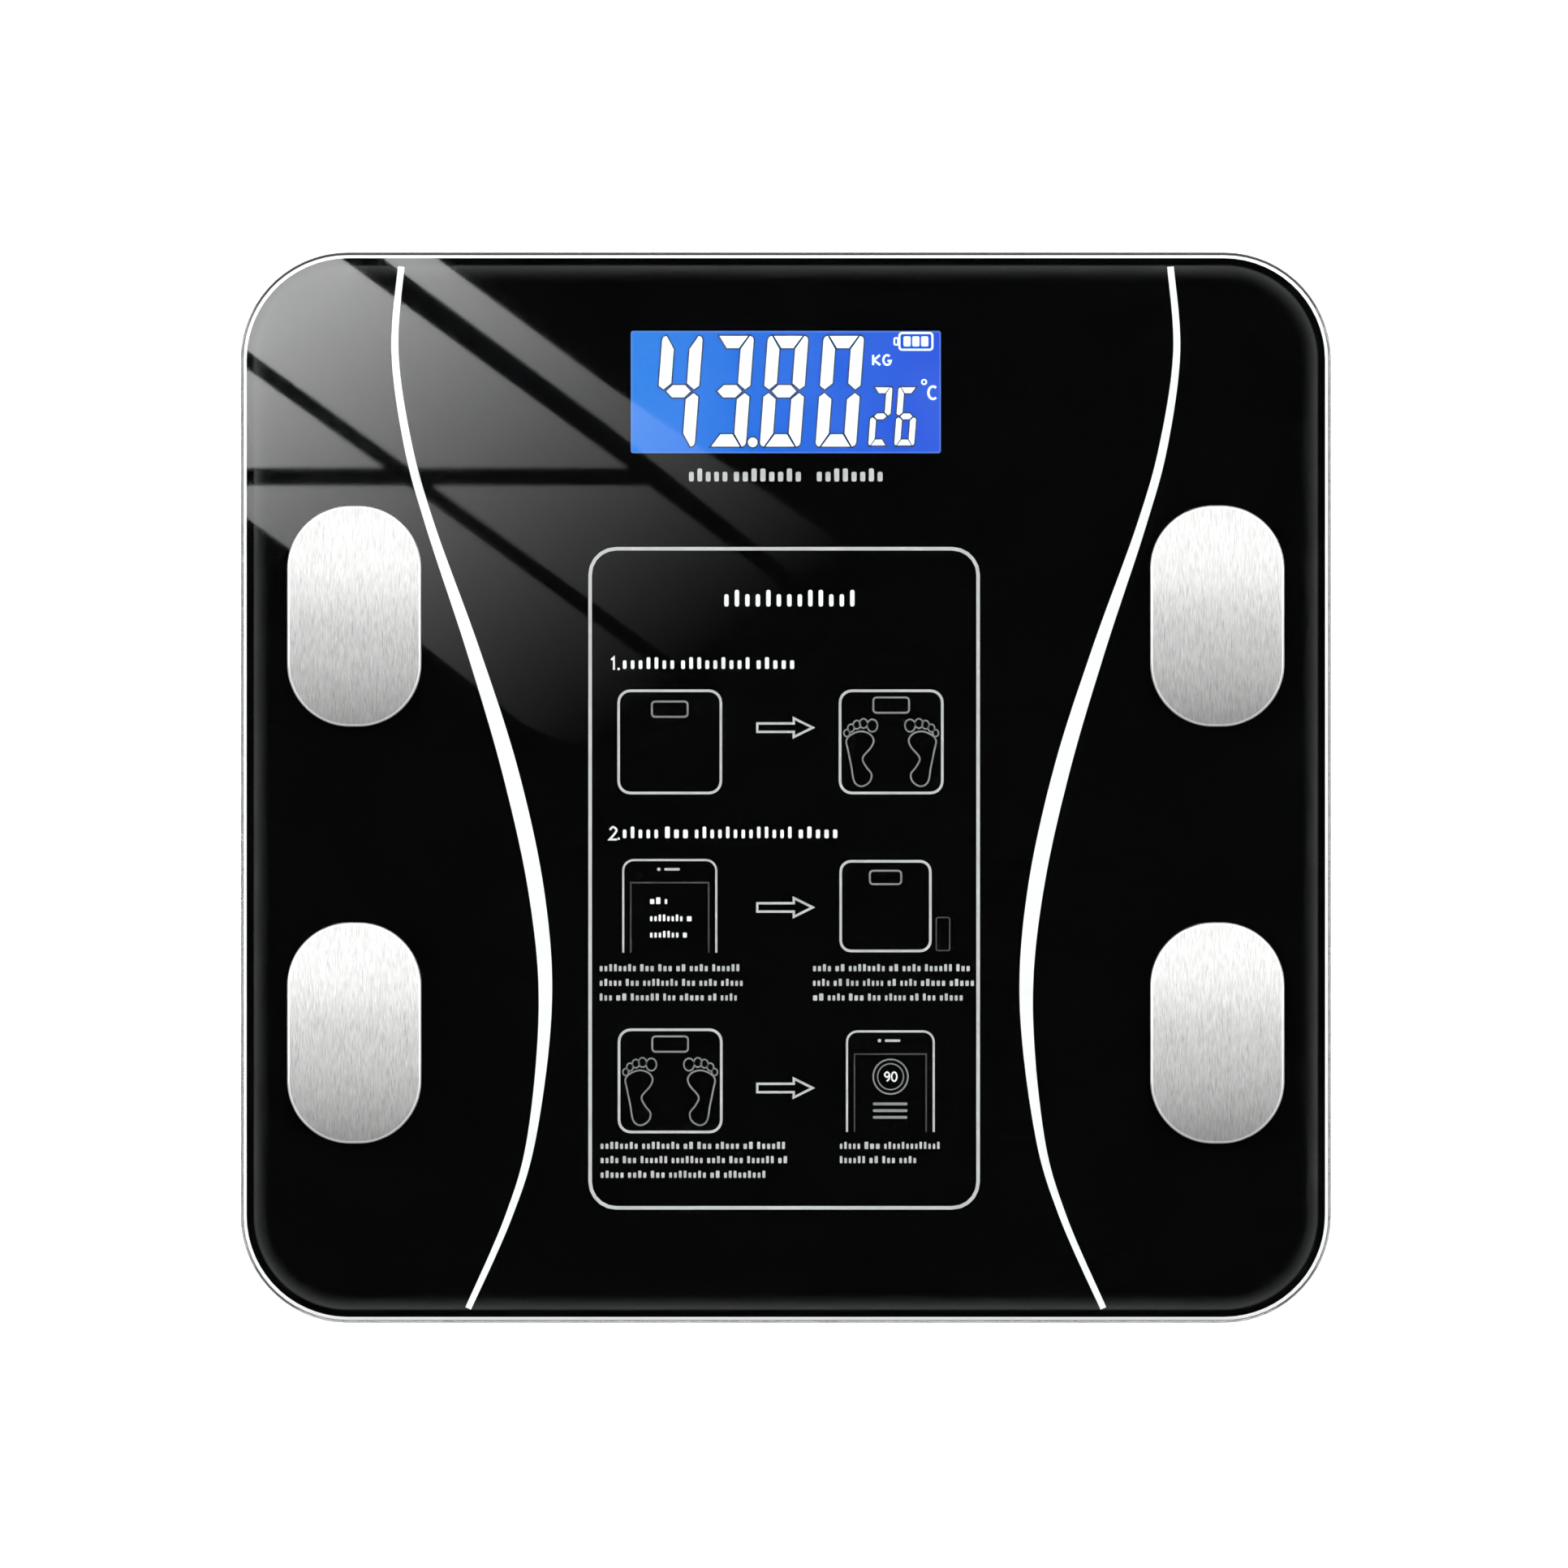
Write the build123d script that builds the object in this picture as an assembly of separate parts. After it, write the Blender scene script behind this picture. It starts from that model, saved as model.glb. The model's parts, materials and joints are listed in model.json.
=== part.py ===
from build123d import *
import math
import os

# Digital body-composition bathroom scale: a square tempered-glass platform on a black plastic base.
# Millimetres: +Z up, +X to the right of a person standing on the scale, +Y towards the display.
# The origin is on the floor under the middle of the platform. "Front" is the display side, +Y.

# ---- Platform ----
PLATE_W = 260.0          # along X
PLATE_D = 255.3          # along Y
PLATE_R = 25.5           # corner radius, seen from above
GLASS_T = 5.0
GLASS_TOP_ROUND = 1.1    # ground and polished edge
GLASS_LOW_ROUND = 0.7
FILM_INSET = 1.3         # clear border round the black print
FILM_T = 0.15
GLUE_GAP = 0.12          # clear glue, with the white print in it, between film and glass
TAPE_T = 0.7

# ---- Heights above the floor ----
BASE_BOTTOM = 5.0
BASE_SKIN = 2.0
GLASS_BOTTOM = 19.0
GLASS_TOP = GLASS_BOTTOM + GLASS_T
FILM_TOP = GLASS_BOTTOM - GLUE_GAP
FILM_BOTTOM = FILM_TOP - FILM_T
BASE_TOP = FILM_BOTTOM - TAPE_T
BASE_FLOOR = BASE_BOTTOM + BASE_SKIN
RIB_TOP = 11.0

# ---- Base tray ----
BASE_INSET = 3.0         # the base is this much smaller than the glass on every side
BASE_WALL = 2.2
BASE_EDGE_ROUND = 3.6
RIM_OFFSET = 7.4         # from the base's outside to the inner rim wall
RIM_WALL = 1.6
RIB_T = 1.3
SCREW_FIT = 0.05         # radial clearance of a screw in its pilot hole
OVER = 1.0               # a cutting tool runs past what it cuts by this much
WELD = 0.5               # a rib or wall starts this deep inside the plastic that it grows from

# ---- Electrodes ----
ELECTRODE_W = 32.0
ELECTRODE_L = 52.8
ELECTRODE_R = 15.0
ELECTRODE_T = 0.6
ELECTRODE_GLUE_T = 0.15
ELECTRODE_X = 102.9
ELECTRODE_FRONT_Y = 40.9
ELECTRODE_REAR_Y = -58.5
STUD_R = 1.5
STUD_END_Z = 14.4
STUD_HOLE_R = 3.5

# ---- Display ----
WINDOW_W = 74.0
WINDOW_H = 29.2
WINDOW_Y = 94.4
LCD_W = 82.0
LCD_H = 35.5
LCD_T = 2.0
GASKET_T = 0.4
BACKLIGHT_T = 3.0
PCB_T = 1.2
PCB_W = 100.0
PCB_Y0, PCB_Y1 = 70.0, 113.0
LCD_TOP = FILM_BOTTOM - GASKET_T
BACKLIGHT_TOP = LCD_TOP - LCD_T
PCB_TOP = BACKLIGHT_TOP - BACKLIGHT_T
PCB_BOTTOM = PCB_TOP - PCB_T
PCB_SCREWS = [(-46.8, 106.0), (46.8, 106.0), (-26.0, 72.2), (26.0, 72.2)]
PCB_SCREW_R = 1.0
PCB_SCREW_L = 5.0
PCB_SCREW_HEAD_R = 1.9
PCB_SCREW_HEAD_T = 1.3
PCB_POST_R = 2.8

# ---- Feet and load cells ----
FOOT_X, FOOT_Y = 93.0, 91.0
FOOT_TRAVEL = 0.5
WELL_R = 25.0
WELL_WALL = 2.0
WELL_ROOF = 15.6
WELL_LIP = 0.6           # the well's wall stands out under the base by this much
FOOT_R = 24.0
PAD_R = 21.2
PAD_T = 2.4
CUP_BOTTOM = 1.4
CUP_FLOOR_T = 2.0
CUP_WALL = 1.6
CUP_RIM_TOP = 9.0
HOOK_FOOT_Z = 9.3        # underside of the barbs that keep a foot in its well
HOOK_TOP = 11.6
PLUNGER_R = 4.5
CELL_SIZE = 34.0
CELL_T = 1.4
CELL_BOTTOM = WELL_ROOF - CELL_T
LOAD_BUTTON_Z = CELL_BOTTOM - 1.2
WIRE_WINDOW_Z = 12.0     # the sensor wires leave the well above this height
RETAINER_T = 1.4
RETAINER_SCREW_X = 20.8
RETAINER_SCREW_R = 0.9
RETAINER_SCREW_TOP = 17.2
HOOK_ANGLES = (45, 135, 225, 315)

# ---- Batteries, door and button ----
BAY_Y = 45.0
BAY_HALF_L, BAY_HALF_W = 26.6, 11.3
BAY_WALL = 1.6
BAY_PAD_T = 3.4          # the floor is this thick round the battery opening
BAY_ROOF = 17.3
DOOR_HALF_L, DOOR_HALF_W = 31.0, 14.5
DOOR_T = 1.5
DOOR_GAP = 0.2
HINGE_X = -29.5
HINGE_R = 1.15
HINGE_Z = BASE_BOTTOM + HINGE_R
HINGE_PIN_R = 0.7
HINGE_PIN_L = 1.3        # each pin stands out of the door's side by this much
LATCH_X = 29.2
LUG_T = 0.4              # solder lugs of the battery contacts
LUG_Z = 13.0
LUG_YS = (BAY_Y - 7, BAY_Y + 7)
CONTACT_Z = (7.4, 16.6)
CELL_AAA_R = 5.2
CELL_AAA_L = 44.5
CELL_AAA_PITCH = 5.6     # each battery's axis is this far from the middle of the bay
CELL_AAA_Z = 11.95
BUTTON_X, BUTTON_Y = 34.0, 79.0
BUTTON_R = 4.5
PLATE_RECESS_W, PLATE_RECESS_H = 78.0, 46.0   # blank shallow panel on the underside
PLATE_RECESS_Y = -22.0
PLATE_RECESS_DEPTH = 0.3

CORNERS = {
    "front_left": (-1, 1),
    "front_right": (1, 1),
    "rear_left": (-1, -1),
    "rear_right": (1, -1),
}


# ---- Small helpers ----
def slab(width, depth, radius, z0, z1, x=0.0, y=0.0):
    """Upright plate with rounded corners."""
    outline = RectangleRounded(width, depth, radius) if radius else Rectangle(width, depth)
    return extrude(Pos(x, y, z0) * outline, z1 - z0)


def rod(radius, z0, z1, x=0.0, y=0.0):
    """Upright cylinder."""
    return Pos(x, y, (z0 + z1) / 2) * Cylinder(radius, z1 - z0)


def block(x0, x1, y0, y1, z0, z1):
    """Box from its limits."""
    return Pos((x0 + x1) / 2, (y0 + y1) / 2, (z0 + z1) / 2) * Box(x1 - x0, y1 - y0, z1 - z0)


def cross_recess(x, y, reach, z0, z1):
    """The cut that a cross-head screwdriver fits."""
    half = 0.25
    across = block(x - reach, x + reach, y - half, y + half, z0, z1)
    return across + block(x - half, x + half, y - reach, y + reach, z0, z1)


def edges_at(shape, z):
    """Edges that lie wholly at one height."""
    return shape.edges().filter_by_position(Axis.Z, z - 1e-4, z + 1e-4)


def group(parts):
    """Several separate solids as one node."""
    return Compound(children=[s for p in parts for s in p.solids()])


def save(shape, name):
    export_step(shape, f"parts/{name}.step")


def offset_route(points, distance):
    """A route shifted sideways, to its left, by the same distance everywhere."""
    shifted = []
    for i, (x, y, z) in enumerate(points):
        before = points[max(i - 1, 0)], points[max(i, 1)]
        after = points[min(i, len(points) - 2)], points[min(i + 1, len(points) - 1)]
        normals = []
        for (ax, ay, _), (bx, by, _) in (before, after):
            length = math.hypot(bx - ax, by - ay)
            normals.append(((ay - by) / length, (bx - ax) / length))
        (ax, ay), (bx, by) = normals
        share = distance / (1 + ax * bx + ay * by)
        shifted.append((x + (ax + bx) * share, y + (ay + by) * share, z))
    return shifted


def wire(points, radius):
    """A round wire along straight runs joined by arcs as large as the runs allow."""
    corners = [Vector(*p) for p in points]
    radii = []
    for a, b, c in zip(corners, corners[1:], corners[2:]):
        turn = math.radians((b - a).get_angle(c - b))
        radii.append(0.45 * min((b - a).length, (c - b).length) / math.tan(turn / 2))
    path = FilletPolyline(*corners, radius=radii)
    start = Plane(origin=corners[0], z_dir=corners[1] - corners[0])
    return sweep(start * Circle(radius), path=path)


def electrode_places():
    """Each electrode's corner name and centre."""
    places = {}
    for name, (sx, sy) in CORNERS.items():
        places[name] = (sx * ELECTRODE_X, ELECTRODE_FRONT_Y if sy > 0 else ELECTRODE_REAR_Y)
    return places


def at_foot(shape, sx, sy):
    """Places a foot-station part: its local -Y points to the middle of the scale."""
    return Pos(sx * FOOT_X, sy * FOOT_Y, 0) * Rot(0, 0, 0 if sy > 0 else 180) * shape


# ---- Platform ----
def glass_platform():
    plate = slab(PLATE_W, PLATE_D, PLATE_R, GLASS_BOTTOM, GLASS_TOP)
    plate = fillet(edges_at(plate, GLASS_TOP), GLASS_TOP_ROUND)
    plate = fillet(edges_at(plate, GLASS_BOTTOM), GLASS_LOW_ROUND)
    for x, y in electrode_places().values():
        plate -= rod(STUD_HOLE_R, GLASS_BOTTOM - OVER, GLASS_TOP + OVER, x, y)
    return plate


def print_film():
    inset = 2 * FILM_INSET
    film = slab(PLATE_W - inset, PLATE_D - inset, PLATE_R - FILM_INSET, FILM_BOTTOM, FILM_TOP)
    film -= slab(WINDOW_W, WINDOW_H, 0.6, FILM_BOTTOM - OVER, FILM_TOP + OVER, 0, WINDOW_Y)
    for x, y in electrode_places().values():
        film -= rod(STUD_HOLE_R + 0.3, FILM_BOTTOM - OVER, FILM_TOP + OVER, x, y)
    return film


def bonding_tape():
    """Foam tape: a ring on the base's rim and a disc on the roof of each foot well."""
    edge = 0.6
    outer_w, outer_d = base_size()
    ring = slab(outer_w - 2 * edge, outer_d - 2 * edge, base_radius() - edge, BASE_TOP, FILM_BOTTOM)
    inner = RIM_OFFSET + RIM_WALL
    cut_z = BASE_TOP - OVER, FILM_BOTTOM + OVER
    ring -= slab(outer_w - 2 * inner, outer_d - 2 * inner, base_radius() - inner, *cut_z)
    discs = [rod(WELL_R - 2, BASE_TOP, FILM_BOTTOM, sx * FOOT_X, sy * FOOT_Y) for sx, sy in CORNERS.values()]
    return ring + discs


def electrode(x, y):
    bottom = GLASS_TOP + ELECTRODE_GLUE_T
    plate = slab(ELECTRODE_W, ELECTRODE_L, ELECTRODE_R, bottom, bottom + ELECTRODE_T, x, y)
    plate = fillet(edges_at(plate, bottom + ELECTRODE_T), 0.35)
    return plate + rod(STUD_R, STUD_END_Z, bottom + 0.1, x, y)


def electrode_glue_pads():
    inset = 0.5
    pads = []
    for x, y in electrode_places().values():
        width, length, radius = ELECTRODE_W - 2 * inset, ELECTRODE_L - 2 * inset, ELECTRODE_R - inset
        pad = slab(width, length, radius, GLASS_TOP, GLASS_TOP + ELECTRODE_GLUE_T, x, y)
        pads.append(pad - rod(STUD_HOLE_R, GLASS_TOP - OVER, GLASS_TOP + OVER, x, y))
    return group(pads)


# Under the glass each stud carries an insulating washer, a ring terminal and a nut.
WASHER_T = 0.9
TERMINAL_T = 0.6
NUT_T = 2.3
WASHER_BOTTOM = FILM_BOTTOM - WASHER_T
TERMINAL_BOTTOM = WASHER_BOTTOM - TERMINAL_T
NUT_BOTTOM = TERMINAL_BOTTOM - NUT_T
BARREL_Z = TERMINAL_BOTTOM - 0.4


def electrode_washers():
    washers = []
    for x, y in electrode_places().values():
        washer = rod(5.5, WASHER_BOTTOM, FILM_BOTTOM, x, y)
        washers.append(washer - rod(STUD_R + 0.1, WASHER_BOTTOM - OVER, FILM_BOTTOM + OVER, x, y))
    return group(washers)


def electrode_ring_terminals():
    """Crimp terminals: each barrel points to the middle of the scale."""
    terminals = []
    for x, y in electrode_places().values():
        side = -1 if x > 0 else 1
        ring = rod(3.4, TERMINAL_BOTTOM, WASHER_BOTTOM, x, y)
        ring += block(*sorted((x, x + side * 7)), y - 1.3, y + 1.3, TERMINAL_BOTTOM, WASHER_BOTTOM)
        barrel = Pos(x + side * 8.5, y, BARREL_Z) * Rot(0, 90, 0) * Cylinder(1.4, 4)
        bore = Pos(x + side * 9.0, y, BARREL_Z) * Rot(0, 90, 0) * Cylinder(0.75, 4)
        ring += barrel
        ring -= bore
        terminals.append(ring - rod(STUD_R + 0.08, TERMINAL_BOTTOM - OVER, WASHER_BOTTOM + OVER, x, y))
    return group(terminals)


def electrode_nuts():
    nuts = []
    for x, y in electrode_places().values():
        hexagon = Pos(x, y, NUT_BOTTOM) * RegularPolygon(3.15, 6)
        nut = extrude(hexagon, NUT_T)
        nuts.append(nut - rod(STUD_R + SCREW_FIT, NUT_BOTTOM - OVER, TERMINAL_BOTTOM + OVER, x, y))
    return group(nuts)


# ---- Display and circuit board ----
def lcd_glass():
    """Two panes; the lower one is longer, and carries the contacts."""
    y0 = WINDOW_Y - LCD_H / 2
    y1 = WINDOW_Y + LCD_H / 2
    half = LCD_W / 2
    upper = block(-half, half, y0 + 2.5, y1, LCD_TOP - LCD_T / 2, LCD_TOP)
    lower = block(-half, half, y0, y1, BACKLIGHT_TOP, LCD_TOP - LCD_T / 2)
    return upper + lower


def lcd_backlight():
    """Light guide with a lamp housing at one end."""
    guide = slab(LCD_W - 1, LCD_H - 1, 0.8, PCB_TOP, BACKLIGHT_TOP, 0, WINDOW_Y)
    lip = block(-LCD_W / 2 + 0.5, -LCD_W / 2 + 4, WINDOW_Y - 12, WINDOW_Y + 12, PCB_TOP - OVER, PCB_TOP + 0.6)
    return guide - lip


def lcd_frame():
    """Bezel frame that holds the panes and light guide on the board."""
    wall, fit = 0.9, 0.4
    top = LCD_TOP - 0.6
    y0 = WINDOW_Y - LCD_H / 2 - 2.2
    y1 = WINDOW_Y + LCD_H / 2 + fit + wall
    half = LCD_W / 2 + 2.4
    frame = block(-half, half, y0, y1, PCB_TOP, top)
    frame = fillet(frame.edges().filter_by(Axis.Z), 1.2)
    frame -= block(-LCD_W / 2 - fit, LCD_W / 2 + fit, y0 + wall, y1 - wall, PCB_TOP - OVER, top + OVER)
    for x in (-30, -10, 10, 30):
        frame -= block(x - 3, x + 3, y0 - 1, y0 + 1.0, PCB_TOP - 0.1, PCB_TOP + 1.2)
    return frame


def lcd_pins():
    """The leads that carry the panes' contacts down to the board."""
    pins = []
    count, pitch = 28, 2.5
    y = WINDOW_Y - LCD_H / 2
    for i in range(count):
        x = (i - (count - 1) / 2) * pitch
        pins.append(block(x - 0.25, x + 0.25, y - 0.8, y - 0.4, PCB_TOP + 0.02, BACKLIGHT_TOP + 0.8))
    return group(pins)


def display_gasket():
    outer = slab(LCD_W - 0.6, LCD_H - 0.6, 1.0, LCD_TOP, FILM_BOTTOM, 0, WINDOW_Y)
    return outer - slab(WINDOW_W + 1.4, WINDOW_H + 1.4, 0.8, LCD_TOP - OVER, FILM_BOTTOM + OVER, 0, WINDOW_Y)


def main_board():
    middle = (PCB_Y0 + PCB_Y1) / 2
    board = slab(PCB_W, PCB_Y1 - PCB_Y0, 1.5, PCB_BOTTOM, PCB_TOP, 0, middle)
    for x, y in PCB_SCREWS:
        board -= rod(1.3, PCB_BOTTOM - OVER, PCB_TOP + OVER, x, y)
    return board


def board_screws():
    screws = []
    for x, y in PCB_SCREWS:
        head_top = PCB_TOP + PCB_SCREW_HEAD_T
        screw = rod(PCB_SCREW_HEAD_R, PCB_TOP, head_top, x, y)
        screw += rod(PCB_SCREW_R, PCB_TOP - PCB_SCREW_L, PCB_TOP + 0.1, x, y)
        screw -= cross_recess(x, y, 1.4, head_top - 0.6, head_top + OVER)
        screws.append(screw)
    return group(screws)


def processor_chip():
    """Quad flat package under the board, with its legs."""
    x, y, half = -6.0, 92.0, 5.0
    chip = block(x - half, x + half, y - half, y + half, PCB_BOTTOM - 1.5, PCB_BOTTOM - 0.1)
    for i in range(11):
        step = -4.0 + 0.8 * i
        for side in (-1, 1):
            near, far = sorted((side * (half - 0.1), side * (half + 0.9)))
            legs = PCB_BOTTOM - 0.35, PCB_BOTTOM
            chip += block(x + near, x + far, y + step - 0.18, y + step + 0.18, *legs)
            chip += block(x + step - 0.18, x + step + 0.18, y + near, y + far, *legs)
    return chip


def radio_module():
    """Daughter board with a screening can."""
    x0, x1, y0, y1 = -40.0, -26.0, 84.0, 104.0
    module = block(x0, x1, y0, y1, PCB_BOTTOM - 0.8, PCB_BOTTOM)
    return module + block(x0 + 1, x1 - 1, y0 + 1, y0 + 12, PCB_BOTTOM - 2.4, PCB_BOTTOM - 0.8)


def small_components():
    """Chip resistors and capacitors, a crystal and an electrolytic capacitor under the board."""
    parts = []
    for column in range(5):
        for row in range(3):
            x = 6.0 + 4.6 * column
            y = 86.0 + 5.2 * row
            parts.append(block(x - 1.0, x + 1.0, y - 0.6, y + 0.6, PCB_BOTTOM - 0.8, PCB_BOTTOM))
    parts.append(slab(8.0, 3.4, 1.6, PCB_BOTTOM - 2.6, PCB_BOTTOM, -8.0, 103.0))
    parts.append(rod(2.0, PCB_BOTTOM - 3.6, PCB_BOTTOM, 16.0, 105.0))
    return group(parts)


SWITCH_BOTTOM = PCB_BOTTOM - 3.5
SWITCH_TIP_Z = SWITCH_BOTTOM - 0.8


def switch_body():
    body = block(BUTTON_X - 3, BUTTON_X + 3, BUTTON_Y - 3, BUTTON_Y + 3, SWITCH_BOTTOM, PCB_BOTTOM)
    return body - rod(1.9, SWITCH_BOTTOM - OVER, SWITCH_BOTTOM + 2.1, BUTTON_X, BUTTON_Y)


def switch_plunger():
    return rod(1.7, SWITCH_TIP_Z, SWITCH_BOTTOM + 1.5, BUTTON_X, BUTTON_Y)


def unit_button():
    """Push button in the base's underside that changes the weighing unit."""
    face_z = BASE_BOTTOM - 0.4
    cap = rod(BUTTON_R, face_z, BASE_FLOOR + 0.2, BUTTON_X, BUTTON_Y)
    cap = fillet(edges_at(cap, face_z), 0.5)
    cap += rod(BUTTON_R + 1.1, BASE_FLOOR + 0.1, SWITCH_TIP_Z, BUTTON_X, BUTTON_Y)
    dimple_r, dimple_depth = 7.0, 0.4
    return cap - Pos(BUTTON_X, BUTTON_Y, face_z - dimple_r + dimple_depth) * Sphere(dimple_r)


# ---- Base tray ----
def base_size():
    return PLATE_W - 2 * BASE_INSET, PLATE_D - 2 * BASE_INSET


def base_radius():
    return PLATE_R - BASE_INSET


def tray_shell():
    """Outer skin and floor, with the inner rim wall that the tape also sits on."""
    width, depth = base_size()
    shell = slab(width, depth, base_radius(), BASE_BOTTOM, BASE_TOP)
    shell = fillet(edges_at(shell, BASE_BOTTOM), BASE_EDGE_ROUND)
    cavity_r = base_radius() - BASE_WALL
    cavity = slab(width - 2 * BASE_WALL, depth - 2 * BASE_WALL, cavity_r, BASE_FLOOR, BASE_TOP + OVER)
    cavity = fillet(edges_at(cavity, BASE_FLOOR), BASE_EDGE_ROUND - BASE_SKIN)
    shell -= cavity
    rim_r = base_radius() - RIM_OFFSET
    rim = slab(width - 2 * RIM_OFFSET, depth - 2 * RIM_OFFSET, rim_r, BASE_FLOOR - WELD, BASE_TOP)
    inner = RIM_OFFSET + RIM_WALL
    rim -= slab(width - 2 * inner, depth - 2 * inner, rim_r - RIM_WALL, BASE_FLOOR - OVER, BASE_TOP + OVER)
    return shell + rim


def tray_ribs():
    """Low stiffening ribs on the floor, and short webs between the two walls."""
    width, depth = base_size()
    rib_z = BASE_FLOOR - WELD, RIB_TOP
    half_x = width / 2 - RIM_OFFSET
    half_y = depth / 2 - RIM_OFFSET
    half_t = RIB_T / 2
    ribs = []
    for x in (-72, -54, -18, 0, 18, 54, 72):
        ribs.append(block(x - half_t, x + half_t, -half_y, BAY_Y - 20, *rib_z))
    for y in (-100, -75, -50, -25, 0, 25):
        ribs.append(block(-half_x, half_x, y - half_t, y + half_t, *rib_z))
    web_z = BASE_FLOOR - WELD, BASE_TOP
    for x in (-54, -18, 18, 54):
        for side in (-1, 1):
            y0, y1 = sorted((side * (half_y - WELD), side * (depth / 2 - BASE_WALL + WELD)))
            ribs.append(block(x - half_t, x + half_t, y0, y1, *web_z))
    for y in (-50, -25, 0, 25, 50):
        for side in (-1, 1):
            x0, x1 = sorted((side * (half_x - WELD), side * (width / 2 - BASE_WALL + WELD)))
            ribs.append(block(x0, x1, y - half_t, y + half_t, *web_z))
    return ribs


def well_post(sx, sy):
    """The solid that each foot well is cut from."""
    return rod(WELL_R + WELL_WALL, BASE_BOTTOM - WELL_LIP, BASE_TOP, sx * FOOT_X, sy * FOOT_Y)


def well_space():
    """What is cut out of a well post: the foot's room, the hooks' windows and the wires' way out."""
    space = rod(WELL_R, BASE_BOTTOM - OVER, WELL_ROOF)
    space += rod(9.5, WELL_ROOF - 0.5, WELL_ROOF + 0.9)
    window_top = HOOK_TOP + FOOT_TRAVEL + 0.2
    for angle in HOOK_ANGLES:
        window = block(WELL_R - 2, WELL_R + WELL_WALL + 0.5, -3.6, 3.6, CUP_RIM_TOP + 0.2, window_top)
        space += Rot(0, 0, angle) * window
    space += block(-4.4, 4.4, -WELL_R - WELL_WALL - 0.5, -WELL_R + 2, WIRE_WINDOW_Z, WELL_ROOF)
    return space


def retainer_bosses():
    """Bosses under the well's roof that take the retainer's screws, with their pilot holes."""
    bosses = [rod(2.6, CELL_BOTTOM, WELL_ROOF + 0.2, x) for x in (-RETAINER_SCREW_X, RETAINER_SCREW_X)]
    pilot_top = RETAINER_SCREW_TOP + 0.2
    pilots = [
        rod(RETAINER_SCREW_R + SCREW_FIT, CELL_BOTTOM - OVER, pilot_top, x)
        for x in (-RETAINER_SCREW_X, RETAINER_SCREW_X)
    ]
    return bosses, pilots


def hinge_rod(radius, length):
    """Cylinder on the door's hinge axis."""
    return Pos(HINGE_X, BAY_Y, HINGE_Z) * Rot(90, 0, 0) * Cylinder(radius, length)


def battery_bay():
    """Walls and thick floor of the battery bay, and what is cut out of them."""
    outer_l, outer_w = DOOR_HALF_L + 2.5, DOOR_HALF_W + 2.0
    below = BASE_BOTTOM - OVER
    pad_top = BASE_BOTTOM + BAY_PAD_T
    pad = block(-outer_l, outer_l, BAY_Y - outer_w, BAY_Y + outer_w, BASE_BOTTOM + WELD, pad_top)
    wall_l, wall_w = BAY_HALF_L + BAY_WALL, BAY_HALF_W + BAY_WALL
    walls = block(-wall_l, wall_l, BAY_Y - wall_w, BAY_Y + wall_w, pad_top - WELD, BASE_TOP)
    recess_top = BASE_BOTTOM + DOOR_T + 0.1
    recess = slab(2 * DOOR_HALF_L, 2 * DOOR_HALF_W, 2.0, below, recess_top, 0, BAY_Y)
    y0, y1 = BAY_Y - DOOR_HALF_W, BAY_Y + DOOR_HALF_W
    square_end = block(-DOOR_HALF_L, -DOOR_HALF_L + 4, y0, y1, below, recess_top)
    inside = block(-BAY_HALF_L, BAY_HALF_L, BAY_Y - BAY_HALF_W, BAY_Y + BAY_HALF_W, below, BAY_ROOF)
    groove = hinge_rod(HINGE_R + 0.25, 2 * DOOR_HALF_W)
    sockets = hinge_rod(HINGE_PIN_R + 0.08, 2 * DOOR_HALF_W + 2 * HINGE_PIN_L + 0.2)
    latch_slot = block(LATCH_X - 0.6, LATCH_X + 2.3, BAY_Y - 5, BAY_Y + 5, BASE_BOTTOM, pad_top + OVER)
    thumb_notch = rod(6.5, below, BASE_BOTTOM + 1.3, DOOR_HALF_L + 0.5, BAY_Y)
    lug_z = LUG_Z - 0.1, LUG_Z + LUG_T + 0.1
    lugs = [block(BAY_HALF_L - 0.5, wall_l + 0.5, y - 1.2, y + 1.2, *lug_z) for y in LUG_YS]
    return [pad, walls], [recess, square_end, inside, groove, sockets, latch_slot, thumb_notch, *lugs]


def base_tray():
    tray = tray_shell()
    for sx, sy in CORNERS.values():
        tray += well_post(sx, sy)
    bay_parts, bay_cuts = battery_bay()
    tray += tray_ribs() + bay_parts
    for x, y in PCB_SCREWS:
        tray += rod(PCB_POST_R, BASE_FLOOR - WELD, PCB_BOTTOM, x, y)
        pilot_bottom = PCB_TOP - PCB_SCREW_L - 0.4
        tray -= rod(PCB_SCREW_R + SCREW_FIT, pilot_bottom, PCB_BOTTOM + OVER, x, y)
    bosses, pilots = retainer_bosses()
    for sx, sy in CORNERS.values():
        tray -= at_foot(well_space(), sx, sy)
        tray += [at_foot(boss, sx, sy) for boss in bosses]
        tray -= [at_foot(pilot, sx, sy) for pilot in pilots]
    tray -= bay_cuts
    recess_z = BASE_BOTTOM - OVER, BASE_BOTTOM + PLATE_RECESS_DEPTH
    tray -= slab(PLATE_RECESS_W, PLATE_RECESS_H, 3.0, *recess_z, 0, PLATE_RECESS_Y)
    return tray - rod(BUTTON_R + 0.3, BASE_BOTTOM - OVER, BASE_FLOOR + OVER, BUTTON_X, BUTTON_Y)


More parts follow.
